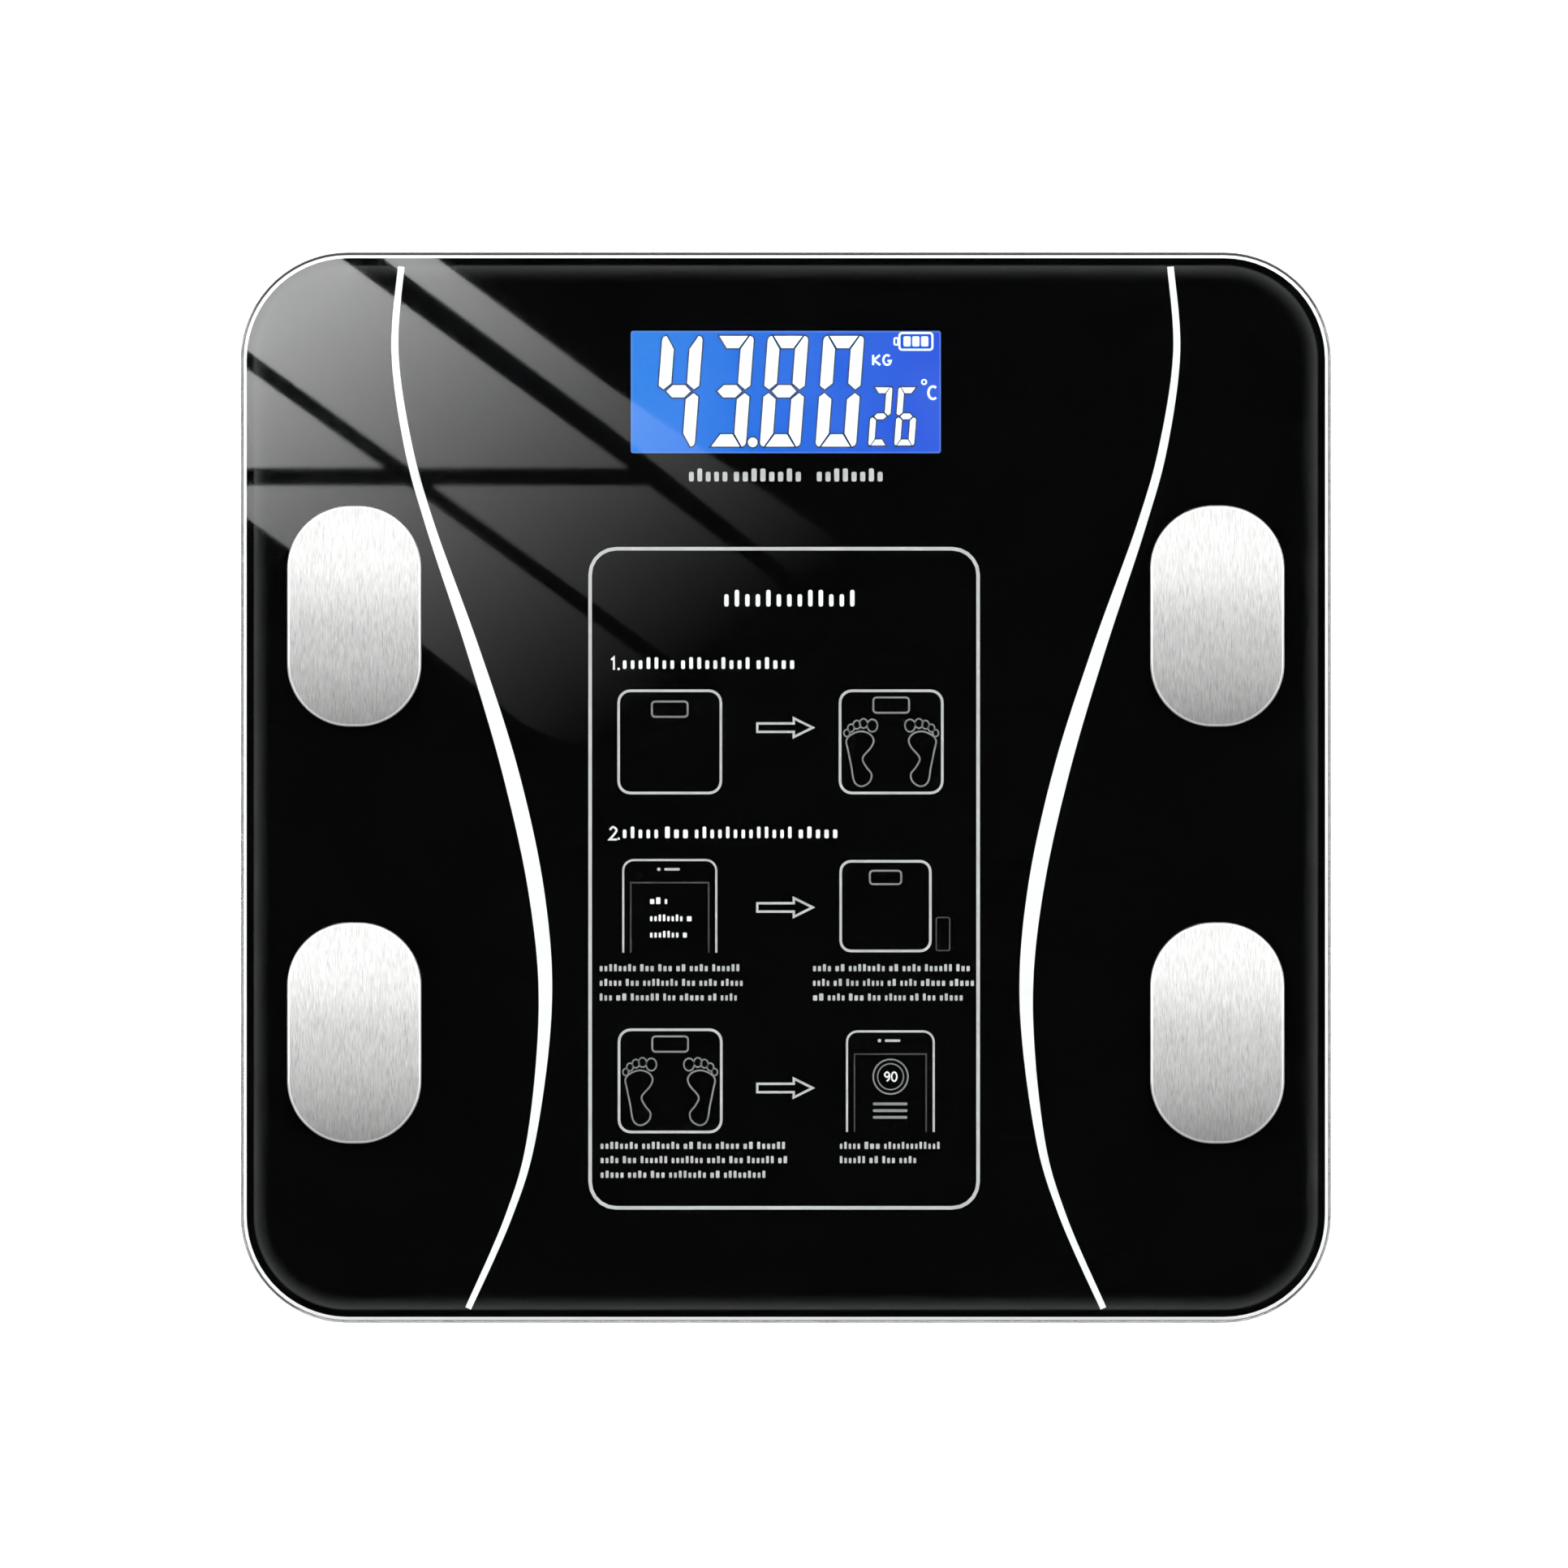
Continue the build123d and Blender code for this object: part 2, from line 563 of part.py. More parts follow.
# ---- Foot station, in its own place: local -Y points to the middle of the scale ----
def load_cell():
    """Stamped steel half-bridge: an outer frame with a tongue that the foot pushes up."""
    plate = slab(CELL_SIZE, CELL_SIZE, 6.0, CELL_BOTTOM, WELL_ROOF)
    tongue, slot = 7.6, 1.6
    cut_z = CELL_BOTTOM - OVER, WELL_ROOF + OVER
    for side in (-1, 1):
        x0, x1 = sorted((side * tongue, side * (tongue + slot)))
        plate -= block(x0, x1, -10.5, 10.5, *cut_z)
    plate -= block(-tongue - slot, tongue + slot, 8.9, 10.5, *cut_z)
    plate -= rod(1.6, *cut_z, 0, 13.8)
    button = rod(3.6, LOAD_BUTTON_Z, CELL_BOTTOM + 0.1)
    button = fillet(edges_at(button, LOAD_BUTTON_Z), 0.5)
    return plate + button


def gauge_coatings():
    """Silicone over the strain gauges on each tongue's root."""
    blobs = []
    for sx, sy in CORNERS.values():
        blob = block(-5.0, 5.0, -11.6, -6.2, CELL_BOTTOM - 1.0, CELL_BOTTOM)
        blob = fillet(edges_at(blob, CELL_BOTTOM - 1.0), 0.6)
        blobs.append(at_foot(blob, sx, sy))
    return group(blobs)


def load_cell_retainer():
    """Plate that holds the load cell's frame up against the well's roof."""
    plate = rod(WELL_R - 0.4, CELL_BOTTOM - RETAINER_T, CELL_BOTTOM)
    plate -= slab(27.0, 27.0, 4.0, CELL_BOTTOM - RETAINER_T - OVER, CELL_BOTTOM + OVER)
    plate -= block(-3.4, 3.4, -WELL_R, -10, CELL_BOTTOM - RETAINER_T - OVER, CELL_BOTTOM + OVER)
    for x in (-RETAINER_SCREW_X, RETAINER_SCREW_X):
        plate -= rod(1.2, CELL_BOTTOM - RETAINER_T - OVER, CELL_BOTTOM + OVER, x)
    return plate


def retainer_screws():
    screws = []
    seat = CELL_BOTTOM - RETAINER_T
    head_t = 1.2
    for sx, sy in CORNERS.values():
        for x in (-RETAINER_SCREW_X, RETAINER_SCREW_X):
            screw = rod(2.0, seat - head_t, seat, x)
            screw += rod(RETAINER_SCREW_R, seat - 0.1, RETAINER_SCREW_TOP, x)
            screw -= cross_recess(x, 0, 1.3, seat - head_t - OVER, seat - head_t + 0.5)
            screws.append(at_foot(screw, sx, sy))
    return group(screws)


def foot_cup():
    """Rigid foot: a cup with a plunger that bears on the load cell, and hooks that keep it in its well."""
    floor_top = PAD_T + CUP_FLOOR_T
    cup = rod(FOOT_R, CUP_BOTTOM, CUP_RIM_TOP)
    cup = fillet(edges_at(cup, CUP_BOTTOM), 0.8)
    cup -= rod(PAD_R + 0.3, CUP_BOTTOM - OVER, PAD_T)
    cup -= rod(FOOT_R - CUP_WALL, floor_top, CUP_RIM_TOP + OVER)
    cup += rod(PLUNGER_R, floor_top - 0.1, LOAD_BUTTON_Z)
    for angle in range(0, 360, 45):
        web = block(PLUNGER_R - 0.5, FOOT_R - 1.2, -0.6, 0.6, floor_top - 0.1, CUP_RIM_TOP - 1.5)
        cup += Rot(0, 0, angle) * web
    half_w, reach = 3.0, 1.9
    root, tip = FOOT_R - 0.1, FOOT_R + reach
    corners = (root, HOOK_FOOT_Z), (tip, HOOK_FOOT_Z), (tip, HOOK_FOOT_Z + 0.9), (root, HOOK_TOP)
    barb = extrude(Plane.XZ * make_face(Polyline(*corners, close=True)), half_w, both=True)
    finger = block(FOOT_R - CUP_WALL, FOOT_R, -half_w, half_w, CUP_RIM_TOP - 0.2, HOOK_TOP)
    for angle in HOOK_ANGLES:
        cup += Rot(0, 0, angle) * (finger + barb)
    return cup


def foot_pad():
    """Soft non-slip pad with two ring grooves."""
    pad = rod(PAD_R, 0, PAD_T)
    pad = fillet(edges_at(pad, 0), 0.5)
    for radius in (9.0, 15.0):
        pad -= rod(radius + 0.7, -1, 0.7) - rod(radius, -1, 0.7)
    return pad


# ---- Battery bay ----
def battery(side):
    """A size AAA cell; side +1 has its positive end at +X."""
    y = BAY_Y + side * CELL_AAA_PITCH
    nub_l = 0.9
    body_l = CELL_AAA_L - nub_l
    x_tip = side * (BAY_HALF_L - 1.7)
    body_x = x_tip - side * (nub_l + body_l / 2)
    body = Pos(body_x, y, CELL_AAA_Z) * Rot(0, 90, 0) * Cylinder(CELL_AAA_R, body_l)
    body = fillet(body.edges(), 0.4)
    nub = Pos(x_tip - side * (nub_l / 2 + 0.05), y, CELL_AAA_Z) * Rot(0, 90, 0) * Cylinder(1.9, nub_l + 0.1)
    return body + nub


def contact_plate(side, y):
    """Sprung-steel plate against the bay's end wall."""
    x0, x1 = sorted((side * BAY_HALF_L, side * (BAY_HALF_L - 0.4)))
    return block(x0, x1, y - 4.6, y + 4.6, *CONTACT_Z)


def contact_bump(side, y):
    """Pressed dome that meets a battery's positive end."""
    x = side * (BAY_HALF_L - 1.0)
    return Pos(x, y, CELL_AAA_Z) * Rot(0, 90, 0) * Cylinder(2.4, 1.3)


def contact_lug(y):
    """Solder lug that passes through the bay's end wall."""
    return block(BAY_HALF_L - 0.3, BAY_HALF_L + BAY_WALL + 2.6, y - 1.0, y + 1.0, LUG_Z, LUG_Z + LUG_T)


def contact_spring(side, y):
    """Coil that pushes on a battery's negative end."""
    start = BAY_HALF_L - 0.4
    end = BAY_HALF_L - 1.7
    cell_end = CELL_AAA_L - end
    wire_r = 0.3
    length = start - cell_end - 2 * wire_r - 0.1
    helix = Helix(pitch=length / 4, height=length, radius=3.2)
    section = Plane(origin=helix @ 0, z_dir=helix % 0) * Circle(wire_r)
    coil = sweep(section, path=helix)
    return Pos(side * (start - wire_r - 0.02), y, CELL_AAA_Z) * Rot(0, -side * 90, 0) * coil


def contact_positive():
    y = BAY_Y + CELL_AAA_PITCH
    return contact_plate(1, y) + contact_bump(1, y) + contact_lug(LUG_YS[1])


def contact_negative():
    y = BAY_Y - CELL_AAA_PITCH
    return group([contact_plate(1, y) + contact_lug(LUG_YS[0]), contact_spring(1, y)])


def contact_bridge():
    """Joins the two batteries in series at the -X end."""
    plate = block(-BAY_HALF_L, -BAY_HALF_L + 0.4, BAY_Y - 10.4, BAY_Y + 10.4, *CONTACT_Z)
    plate += contact_bump(-1, BAY_Y - CELL_AAA_PITCH)
    return group([plate, contact_spring(-1, BAY_Y + CELL_AAA_PITCH)])


def battery_door():
    """Door with a barrel and two pins at its hinged end, and a sprung latch at the other."""
    half_l, half_w = DOOR_HALF_L - DOOR_GAP, DOOR_HALF_W - DOOR_GAP
    top = BASE_BOTTOM + DOOR_T
    door = block(HINGE_X, half_l, BAY_Y - half_w, BAY_Y + half_w, BASE_BOTTOM, top)
    door = fillet(door.edges().filter_by(Axis.Z).sort_by(Axis.X)[-2:], 1.8)
    barrel = hinge_rod(HINGE_R, 2 * half_w)
    pins = hinge_rod(HINGE_PIN_R, 2 * half_w + 2 * HINGE_PIN_L)
    latch_top = BASE_BOTTOM + BAY_PAD_T + 2.0
    finger = block(LATCH_X, LATCH_X + 1.0, BAY_Y - 4, BAY_Y + 4, top - 0.1, latch_top)
    barb = block(LATCH_X + 0.9, LATCH_X + 1.7, BAY_Y - 4, BAY_Y + 4, latch_top - 1.2, latch_top - 0.4)
    tab = slab(3.0, 9.0, 1.4, BASE_BOTTOM, top - 0.3, half_l + 0.9, BAY_Y)
    door += [barrel, pins, finger, barb, tab]
    for i in range(5):
        x = 16.0 + 2.2 * i
        door -= block(x - 0.4, x + 0.4, BAY_Y - 7, BAY_Y + 7, BASE_BOTTOM - OVER, BASE_BOTTOM + 0.35)
    return door


# ---- Wiring: each route is listed by hand for the left side, and mirrored to the right ----
WIRE_Z = RIB_TOP + 0.55
CLIMB_Z = 12.7
PAD_Z = PCB_TOP + 0.55
CELL_LEAD_Z = CELL_BOTTOM - 0.55
SENSOR_WIRE_R = 0.5
ELECTRODE_WIRE_R = 0.5
SENSOR_FRONT = [
    (-93.0, 79.0, CELL_LEAD_Z), (-93.0, 69.0, CELL_LEAD_Z), (-91.0, 59.0, CLIMB_Z), (-80.0, 54.0, WIRE_Z),
    (-64.0, 53.0, WIRE_Z), (-51.0, 55.5, WIRE_Z), (-46.6, 63.0, CLIMB_Z), (-46.4, 68.2, PAD_Z),
    (-46.4, 72.6, PAD_Z),
]
SENSOR_REAR = [
    (-93.0, -79.0, CELL_LEAD_Z), (-93.0, -69.0, CELL_LEAD_Z), (-90.0, -59.6, CLIMB_Z), (-78.0, -56.0, WIRE_Z),
    (-55.0, -53.0, WIRE_Z), (-42.0, -44.0, WIRE_Z), (-38.6, -26.0, WIRE_Z), (-39.6, 10.0, WIRE_Z),
    (-38.8, 44.0, WIRE_Z), (-39.2, 61.0, CLIMB_Z), (-39.0, 67.6, PAD_Z), (-39.0, 72.4, PAD_Z),
]
ELECTRODE_FRONT = [
    (-94.0, 40.9, BARREL_Z), (-86.0, 40.9, BARREL_Z), (-76.0, 42.4, WIRE_Z),
    (-58.0, 43.0, WIRE_Z), (-46.5, 47.5, WIRE_Z), (-43.5, 60.0, CLIMB_Z), (-43.2, 67.5, PAD_Z),
    (-43.2, 72.4, PAD_Z),
]
ELECTRODE_REAR = [
    (-94.0, -58.5, BARREL_Z), (-87.0, -58.5, BARREL_Z), (-78.0, -51.5, WIRE_Z + 1.6),
    (-60.0, -46.5, WIRE_Z), (-45.6, -37.0, WIRE_Z), (-42.4, -18.0, WIRE_Z), (-43.0, 14.0, WIRE_Z),
    (-41.4, 46.0, WIRE_Z), (-41.6, 61.0, CLIMB_Z), (-41.4, 67.6, PAD_Z), (-41.4, 72.4, PAD_Z),
]
BATTERY_WIRE_R = 0.55


def mirrored(points, sx):
    return points if sx < 0 else [(-x, y, z) for x, y, z in points]


def sensor_wires(sx, sy):
    """Three insulated wires side by side from a load cell to the board."""
    route = mirrored(SENSOR_FRONT if sy > 0 else SENSOR_REAR, sx)
    return group([wire(offset_route(route, 1.08 * i), SENSOR_WIRE_R) for i in (-1, 0, 1)])


def electrode_wire(sx, sy):
    return wire(mirrored(ELECTRODE_FRONT if sy > 0 else ELECTRODE_REAR, sx), ELECTRODE_WIRE_R)


def battery_wires():
    """Two wires from the contacts' solder lugs to the board."""
    wires = []
    x0 = BAY_HALF_L + BAY_WALL + 1.6
    z0 = LUG_Z + LUG_T + BATTERY_WIRE_R
    for lug_y, lane in zip(LUG_YS, (32.6, 31.2)):
        points = [
            (x0, lug_y, z0), (lane, lug_y + 3.5, z0), (lane + 0.4, 62.0, 13.2),
            (lane - 0.2, 67.6, PAD_Z), (lane - 0.2, 72.2, PAD_Z),
        ]
        wires.append(wire(points, BATTERY_WIRE_R))
    return group(wires)


def main():
    os.makedirs("parts", exist_ok=True)
    save(glass_platform(), "glass_platform")
    save(print_film(), "print_film")
    save(bonding_tape(), "bonding_tape")
    save(electrode_glue_pads(), "electrode_glue_pads")
    save(electrode_washers(), "electrode_washers")
    save(electrode_ring_terminals(), "electrode_ring_terminals")
    save(electrode_nuts(), "electrode_nuts")
    for name, (x, y) in electrode_places().items():
        save(electrode(x, y), f"electrode_{name}")
    save(lcd_glass(), "lcd_glass")
    save(lcd_backlight(), "lcd_backlight")
    save(lcd_frame(), "lcd_frame")
    save(lcd_pins(), "lcd_pins")
    save(display_gasket(), "display_gasket")
    save(main_board(), "main_board")
    save(board_screws(), "board_screws")
    save(processor_chip(), "processor_chip")
    save(radio_module(), "radio_module")
    save(small_components(), "small_components")
    save(switch_body(), "switch_body")
    save(switch_plunger(), "switch_plunger")
    save(unit_button(), "unit_button")
    save(base_tray(), "base_tray")
    save(gauge_coatings(), "gauge_coatings")
    save(retainer_screws(), "retainer_screws")
    station = {
        "load_cell": load_cell(),
        "load_cell_retainer": load_cell_retainer(),
        "foot_cup": foot_cup(),
        "foot_pad": foot_pad(),
    }
    for name, (sx, sy) in CORNERS.items():
        for part_name, shape in station.items():
            save(at_foot(shape, sx, sy), f"{part_name}_{name}")
        save(sensor_wires(sx, sy), f"sensor_wires_{name}")
        save(electrode_wire(sx, sy), f"electrode_wire_{name}")
    save(battery(1), "battery_a")
    save(battery(-1), "battery_b")
    save(contact_positive(), "contact_positive")
    save(contact_negative(), "contact_negative")
    save(contact_bridge(), "contact_bridge")
    save(battery_door(), "battery_door")
    save(battery_wires(), "battery_wires")


main()
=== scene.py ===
import json
import math

import bmesh
import bpy
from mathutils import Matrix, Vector


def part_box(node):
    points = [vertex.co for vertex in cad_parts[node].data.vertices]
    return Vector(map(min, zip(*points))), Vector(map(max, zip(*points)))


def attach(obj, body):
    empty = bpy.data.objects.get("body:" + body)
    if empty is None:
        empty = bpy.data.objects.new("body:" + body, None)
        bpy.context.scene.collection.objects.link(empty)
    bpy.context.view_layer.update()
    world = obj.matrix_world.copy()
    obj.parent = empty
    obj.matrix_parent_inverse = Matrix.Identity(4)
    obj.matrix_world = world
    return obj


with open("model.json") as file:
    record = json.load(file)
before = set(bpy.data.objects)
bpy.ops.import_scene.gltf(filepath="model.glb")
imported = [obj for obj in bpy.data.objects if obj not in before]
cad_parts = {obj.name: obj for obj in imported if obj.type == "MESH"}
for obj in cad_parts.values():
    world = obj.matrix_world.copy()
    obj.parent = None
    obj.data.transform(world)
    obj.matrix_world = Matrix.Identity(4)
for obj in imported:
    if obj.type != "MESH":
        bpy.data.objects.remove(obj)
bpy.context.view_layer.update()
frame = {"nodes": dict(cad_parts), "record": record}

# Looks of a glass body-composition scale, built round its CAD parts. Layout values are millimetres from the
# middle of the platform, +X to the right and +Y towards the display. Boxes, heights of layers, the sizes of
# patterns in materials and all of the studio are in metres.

MM = 0.001
BODY = "scale"

GLASS_LOW, GLASS_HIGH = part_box("glass_platform")
_, FILM_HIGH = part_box("print_film")
LCD_LOW, LCD_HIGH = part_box("lcd_glass")
HALF_W = GLASS_HIGH.x / MM
HALF_D = GLASS_HIGH.y / MM
CORNER_R = 25.5
PLATE_TOP = GLASS_HIGH.z

# The white print lies in the clear glue between the glass and the black print.
GLUE = GLASS_LOW.z - FILM_HIGH.z
INK_LOW = FILM_HIGH.z + 0.25 * GLUE
INK_HIGH = FILM_HIGH.z + 0.70 * GLUE

# The display's lit shapes lie on its upper pane, inside the gasket.
SHAPE_LOW = LCD_HIGH.z + 0.00002
SHAPE_MID = LCD_HIGH.z + 0.00008
SHAPE_HIGH = LCD_HIGH.z + 0.00016


# ---- Flat outlines ----
def smooth(points, steps=8, closed=False):
    """A Catmull-Rom curve through points. Extra values, such as a width, run along with x and y."""
    count = len(points)
    curve = []
    for i in range(count if closed else count - 1):
        if closed:
            a, b, c, d = (points[(i + k) % count] for k in (-1, 0, 1, 2))
        else:
            a, b, c, d = (points[min(max(i + k, 0), count - 1)] for k in (-1, 0, 1, 2))
        for step in range(steps):
            t = step / steps
            curve.append(tuple(
                0.5 * (
                    2 * q + (r - p) * t + (2 * p - 5 * q + 4 * r - s) * t * t
                    + (3 * q - p - 3 * r + s) * t ** 3
                )
                for p, q, r, s in zip(a, b, c, d)
            ))
    return curve if closed else curve + [tuple(points[-1])]


def arc(x, y, radius, start, end, steps=8, tall=1.0):
    """Points on an arc in degrees; tall stretches it along Y."""
    turns = [math.radians(start + (end - start) * i / steps) for i in range(steps + 1)]
    return [(x + radius * math.cos(a), y + radius * tall * math.sin(a)) for a in turns]


def ring(x, y, radius, tall=1.0, steps=28):
    return arc(x, y, radius, 0, 360, steps, tall)[:-1]


def rounded(x0, x1, y0, y1, radius, steps=5):
    """A rectangle with rounded corners, counter-clockwise."""
    corners = (
        (x1 - radius, y1 - radius, 0), (x0 + radius, y1 - radius, 90),
        (x0 + radius, y0 + radius, 180), (x1 - radius, y0 + radius, 270),
    )
    return [p for x, y, start in corners for p in arc(x, y, radius, start, start + 90, steps)]


NO_LENGTH = 1e-9        # two points closer than this are the same
SHARP_CORNER = 0.35     # keeps a sharp corner from moving out too far


def offset(points, distance, closed):
    """The outline moved to its left by a distance, or by one distance for each point."""
    count = len(points)
    distances = distance if isinstance(distance, list) else [distance] * count
    moved = []
    for i, point in enumerate(points):
        before = points[i - 1] if closed or i else point
        after = points[(i + 1) % count] if closed or i < count - 1 else point
        normals = []
        for (ax, ay), (bx, by) in ((before[:2], point[:2]), (point[:2], after[:2])):
            length = math.hypot(bx - ax, by - ay)
            if length > NO_LENGTH:
                normals.append(((ay - by) / length, (bx - ax) / length))
        (ax, ay), (bx, by) = normals[0], normals[-1]
        share = distances[i] / max(1 + ax * bx + ay * by, SHARP_CORNER)
        moved.append((point[0] + (ax + bx) * share, point[1] + (ay + by) * share))
    return moved


# ---- Pieces made of thin shapes ----
def quad(bm, a, b, c, d):
    bm.faces.new((a, b, c, d))


def add_plate(bm, outline, low, high):
    """A thin closed plate with the given outline."""
    bottom = [bm.verts.new((x * MM, y * MM, low)) for x, y in outline]
    top = [bm.verts.new((x * MM, y * MM, high)) for x, y in outline]
    bm.faces.new(list(reversed(bottom)))
    bm.faces.new(top)
    for i in range(len(outline)):
        j = (i + 1) % len(outline)
        quad(bm, bottom[i], bottom[j], top[j], top[i])


def add_line(bm, points, width, low, high, closed=False):
    """A thin closed ribbon along a path; width is a number, or a list with one for each point."""
    half = [w / 2 for w in width] if isinstance(width, list) else width / 2
    back = [-w for w in half] if isinstance(half, list) else -half
    rows = []
    for left, right in zip(offset(points, half, closed), offset(points, back, closed)):
        rows.append([
            bm.verts.new((p[0] * MM, p[1] * MM, z)) for z in (low, high) for p in (left, right)
        ])
    pairs = list(zip(rows, rows[1:])) + ([(rows[-1], rows[0])] if closed else [])
    for (a, b, c, d), (e, f, g, h) in pairs:
        quad(bm, a, e, f, b)
        quad(bm, c, d, h, g)
        quad(bm, a, c, g, e)
        quad(bm, b, f, h, d)
    if not closed:
        for a, b, c, d in (rows[0], rows[-1]):
            quad(bm, a, b, d, c)


def piece(name, draw, finish, body=BODY):
    """A mesh piece that draw fills, riding on a CAD body."""
    bm = bmesh.new()
    draw(bm)
    bmesh.ops.recalc_face_normals(bm, faces=bm.faces)
    mesh = bpy.data.meshes.new(name)
    bm.to_mesh(mesh)
    bm.free()
    made = bpy.data.objects.new(name, mesh)
    bpy.context.scene.collection.objects.link(made)
    made.data.materials.append(MATERIALS[finish])
    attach(made, body)


def ink(name, draw, finish="white_print"):
    piece(name, draw, finish)


def ink_line(bm, points, width, closed=False):
    add_line(bm, points, width, INK_LOW, INK_HIGH, closed)


def ink_plate(bm, outline):
    add_plate(bm, outline, INK_LOW, INK_HIGH)


# ---- Materials ----
def add(tree, kind, inputs=(), **props):
    """A shader node with its settings and its inputs, which are values or other nodes' outputs."""
    made = tree.nodes.new(kind)
    for name, value in props.items():
        setattr(made, name, value)
    for key, value in dict(inputs).items():
        if isinstance(value, bpy.types.NodeSocket):
            tree.links.new(value, made.inputs[key])
        else:
            made.inputs[key].default_value = value
    return made


def maths(tree, operation, *values):
    return add(tree, "ShaderNodeMath", dict(enumerate(values)), operation=operation).outputs[0]


def place(tree):
    """Where a point is in the row frame, in metres."""
    return add(tree, "ShaderNodeTexCoord").outputs["Object"]


def coordinates(tree):
    """A point's x, y and z in metres."""
    return add(tree, "ShaderNodeSeparateXYZ", {"Vector": place(tree)}).outputs


def noise(tree, size, stretch=(1, 1, 1), detail=3.0):
    """Fractal noise with features of about size metres, drawn out along each axis by stretch."""
    scale = [1 / (size * s) for s in stretch]
    mapped = add(tree, "ShaderNodeMapping", {"Vector": place(tree), "Scale": scale})
    inputs = {"Vector": mapped.outputs[0], "Scale": 1.0, "Detail": detail, "Roughness": 0.55}
    return add(tree, "ShaderNodeTexNoise", inputs).outputs["Fac"]


def spread(tree, value, low, high, start=0.3, end=0.7):
    """Maps a value between start and end to low and high."""
    inputs = {"Value": value, "From Min": start, "From Max": end, "To Min": low, "To Max": high}
    return add(tree, "ShaderNodeMapRange", inputs).outputs[0]


def mix(tree, factor, a, b):
    made = add(tree, "ShaderNodeMix", data_type="RGBA")
    for key, value in ((0, factor), (6, a), (7, b)):
        if isinstance(value, bpy.types.NodeSocket):
            tree.links.new(value, made.inputs[key])
        else:
            made.inputs[key].default_value = value
    return made.outputs[2]


def shade(colour, factor):
    return tuple(min(c * factor, 1.0) for c in colour[:3]) + (1.0,)


def bump(tree, height, depth, normal=None):
    inputs = {"Height": height, "Distance": depth, "Strength": 1.0}
    if normal is not None:
        inputs["Normal"] = normal
    return add(tree, "ShaderNodeBump", inputs).outputs["Normal"]


def material(name):
    made = bpy.data.materials.new(name)
    made.use_nodes = True
    tree = made.node_tree
    return made, tree, next(n for n in tree.nodes if n.type == "BSDF_PRINCIPLED")


def set_shader(tree, shader, **sockets):
    """Sets the shader's sockets; underscores stand for the spaces in their names."""
    for key, value in sockets.items():
        socket = shader.inputs[key.replace("_", " ")]
        if isinstance(value, bpy.types.NodeSocket):
            tree.links.new(value, socket)
        else:
            socket.default_value = value


def moulded(name, colour, rough=(0.40, 0.55), grain=0.0004, depth=0.00002, blotch=0.02, **sockets):
    """Moulded plastic or rubber: a fine grain over slow changes in tone."""
    made, tree, shader = material(name)
    slow = noise(tree, blotch, detail=2.0)
    fine = noise(tree, grain, detail=2.0)
    tone = mix(tree, spread(tree, slow, 0.0, 1.0), shade(colour, 0.82), shade(colour, 1.16))
    tone = mix(tree, spread(tree, fine, 0.0, 0.35), tone, shade(colour, 1.45))
    set_shader(
        tree, shader, Base_Color=tone, Roughness=spread(tree, slow, *rough), Normal=bump(tree, fine, depth),
        **sockets,
    )
    return made


RIM_HIGHLIGHT_GAIN = 2.1    # how much lighter the painted highlight on a rim is than the brushed metal


def brushed(
    name, colour, rough=(0.26, 0.38), line=0.00012, run=60.0, along="y", depth=0.000006, crown=None, rim_highlight=None
):
    """Metal with brush lines along one axis. line is their width, and run their length in widths.

    crown draws a pressed part's gentle dome, and the rim mask paints a highlight along its edge.
    """
    made, tree, shader = material(name)
    stretch = {"x": (run, 1, 1), "y": (1, run, 1), "z": (1, 1, run)}[along]
    lines = noise(tree, line, stretch, detail=2.0)
    broad = noise(tree, line * 4, stretch, detail=3.0)
    tone = mix(tree, spread(tree, lines, 0.0, 1.0), shade(colour, 0.70), shade(colour, 1.24))
    tone = mix(tree, spread(tree, broad, 0.0, 0.35), tone, shade(colour, 1.2))
    # Painted highlight: the rim's colour is made lighter, standing in for light caught along its edge.
    if rim_highlight:
        tone = mix(tree, rim_highlight(tree), tone, shade(colour, RIM_HIGHLIGHT_GAIN))
    normal = bump(tree, lines, depth)
    if crown:
        normal = bump(tree, crown(tree), 1.0, normal=normal)
    set_shader(
        tree, shader, Base_Color=tone, Metallic=1.0, Roughness=spread(tree, broad, *rough), Normal=normal
    )
    return made


def clear_glass():
    """Polished glass with the faintest smears."""
    made, tree, shader = material("clear_glass")
    smear = noise(tree, 0.05, (1, 1.8, 1), detail=4.0)
    set_shader(
        tree, shader, Base_Color=(0.975, 0.995, 0.985, 1), Transmission_Weight=1.0, IOR=1.5,
        Roughness=spread(tree, smear, 0.007, 0.011, 0.42, 0.75),
    )
    return made


def edge_distance(tree, x, y, half_w, half_d, radius):
    """How far x and y, in metres, lie inside a rounded rectangle. All the rest is in millimetres."""
    arms = []
    for value, half in ((x, half_w), (y, half_d)):
        arms.append(maths(tree, "SUBTRACT", maths(tree, "ABSOLUTE", value), (half - radius) * MM))
    outside = [maths(tree, "MAXIMUM", arm, 0.0) for arm in arms]
    squares = [maths(tree, "MULTIPLY", arm, arm) for arm in outside]
    corner = maths(tree, "SQRT", maths(tree, "ADD", *squares))
    inside = maths(tree, "MINIMUM", maths(tree, "MAXIMUM", *arms), 0.0)
    signed = maths(tree, "ADD", corner, inside)
    return maths(tree, "MULTIPLY", maths(tree, "SUBTRACT", radius * MM, signed), 1 / MM)


BEVEL_REFLECTION_START, BEVEL_REFLECTION_PEAK, BEVEL_REFLECTION_END = 2.85, 3.35, 7.55    # painted reflection of the glass's bevelled edge, a grey band in the black print, in from the platform's edge
BEVEL_REFLECTION_POWER = 2.5


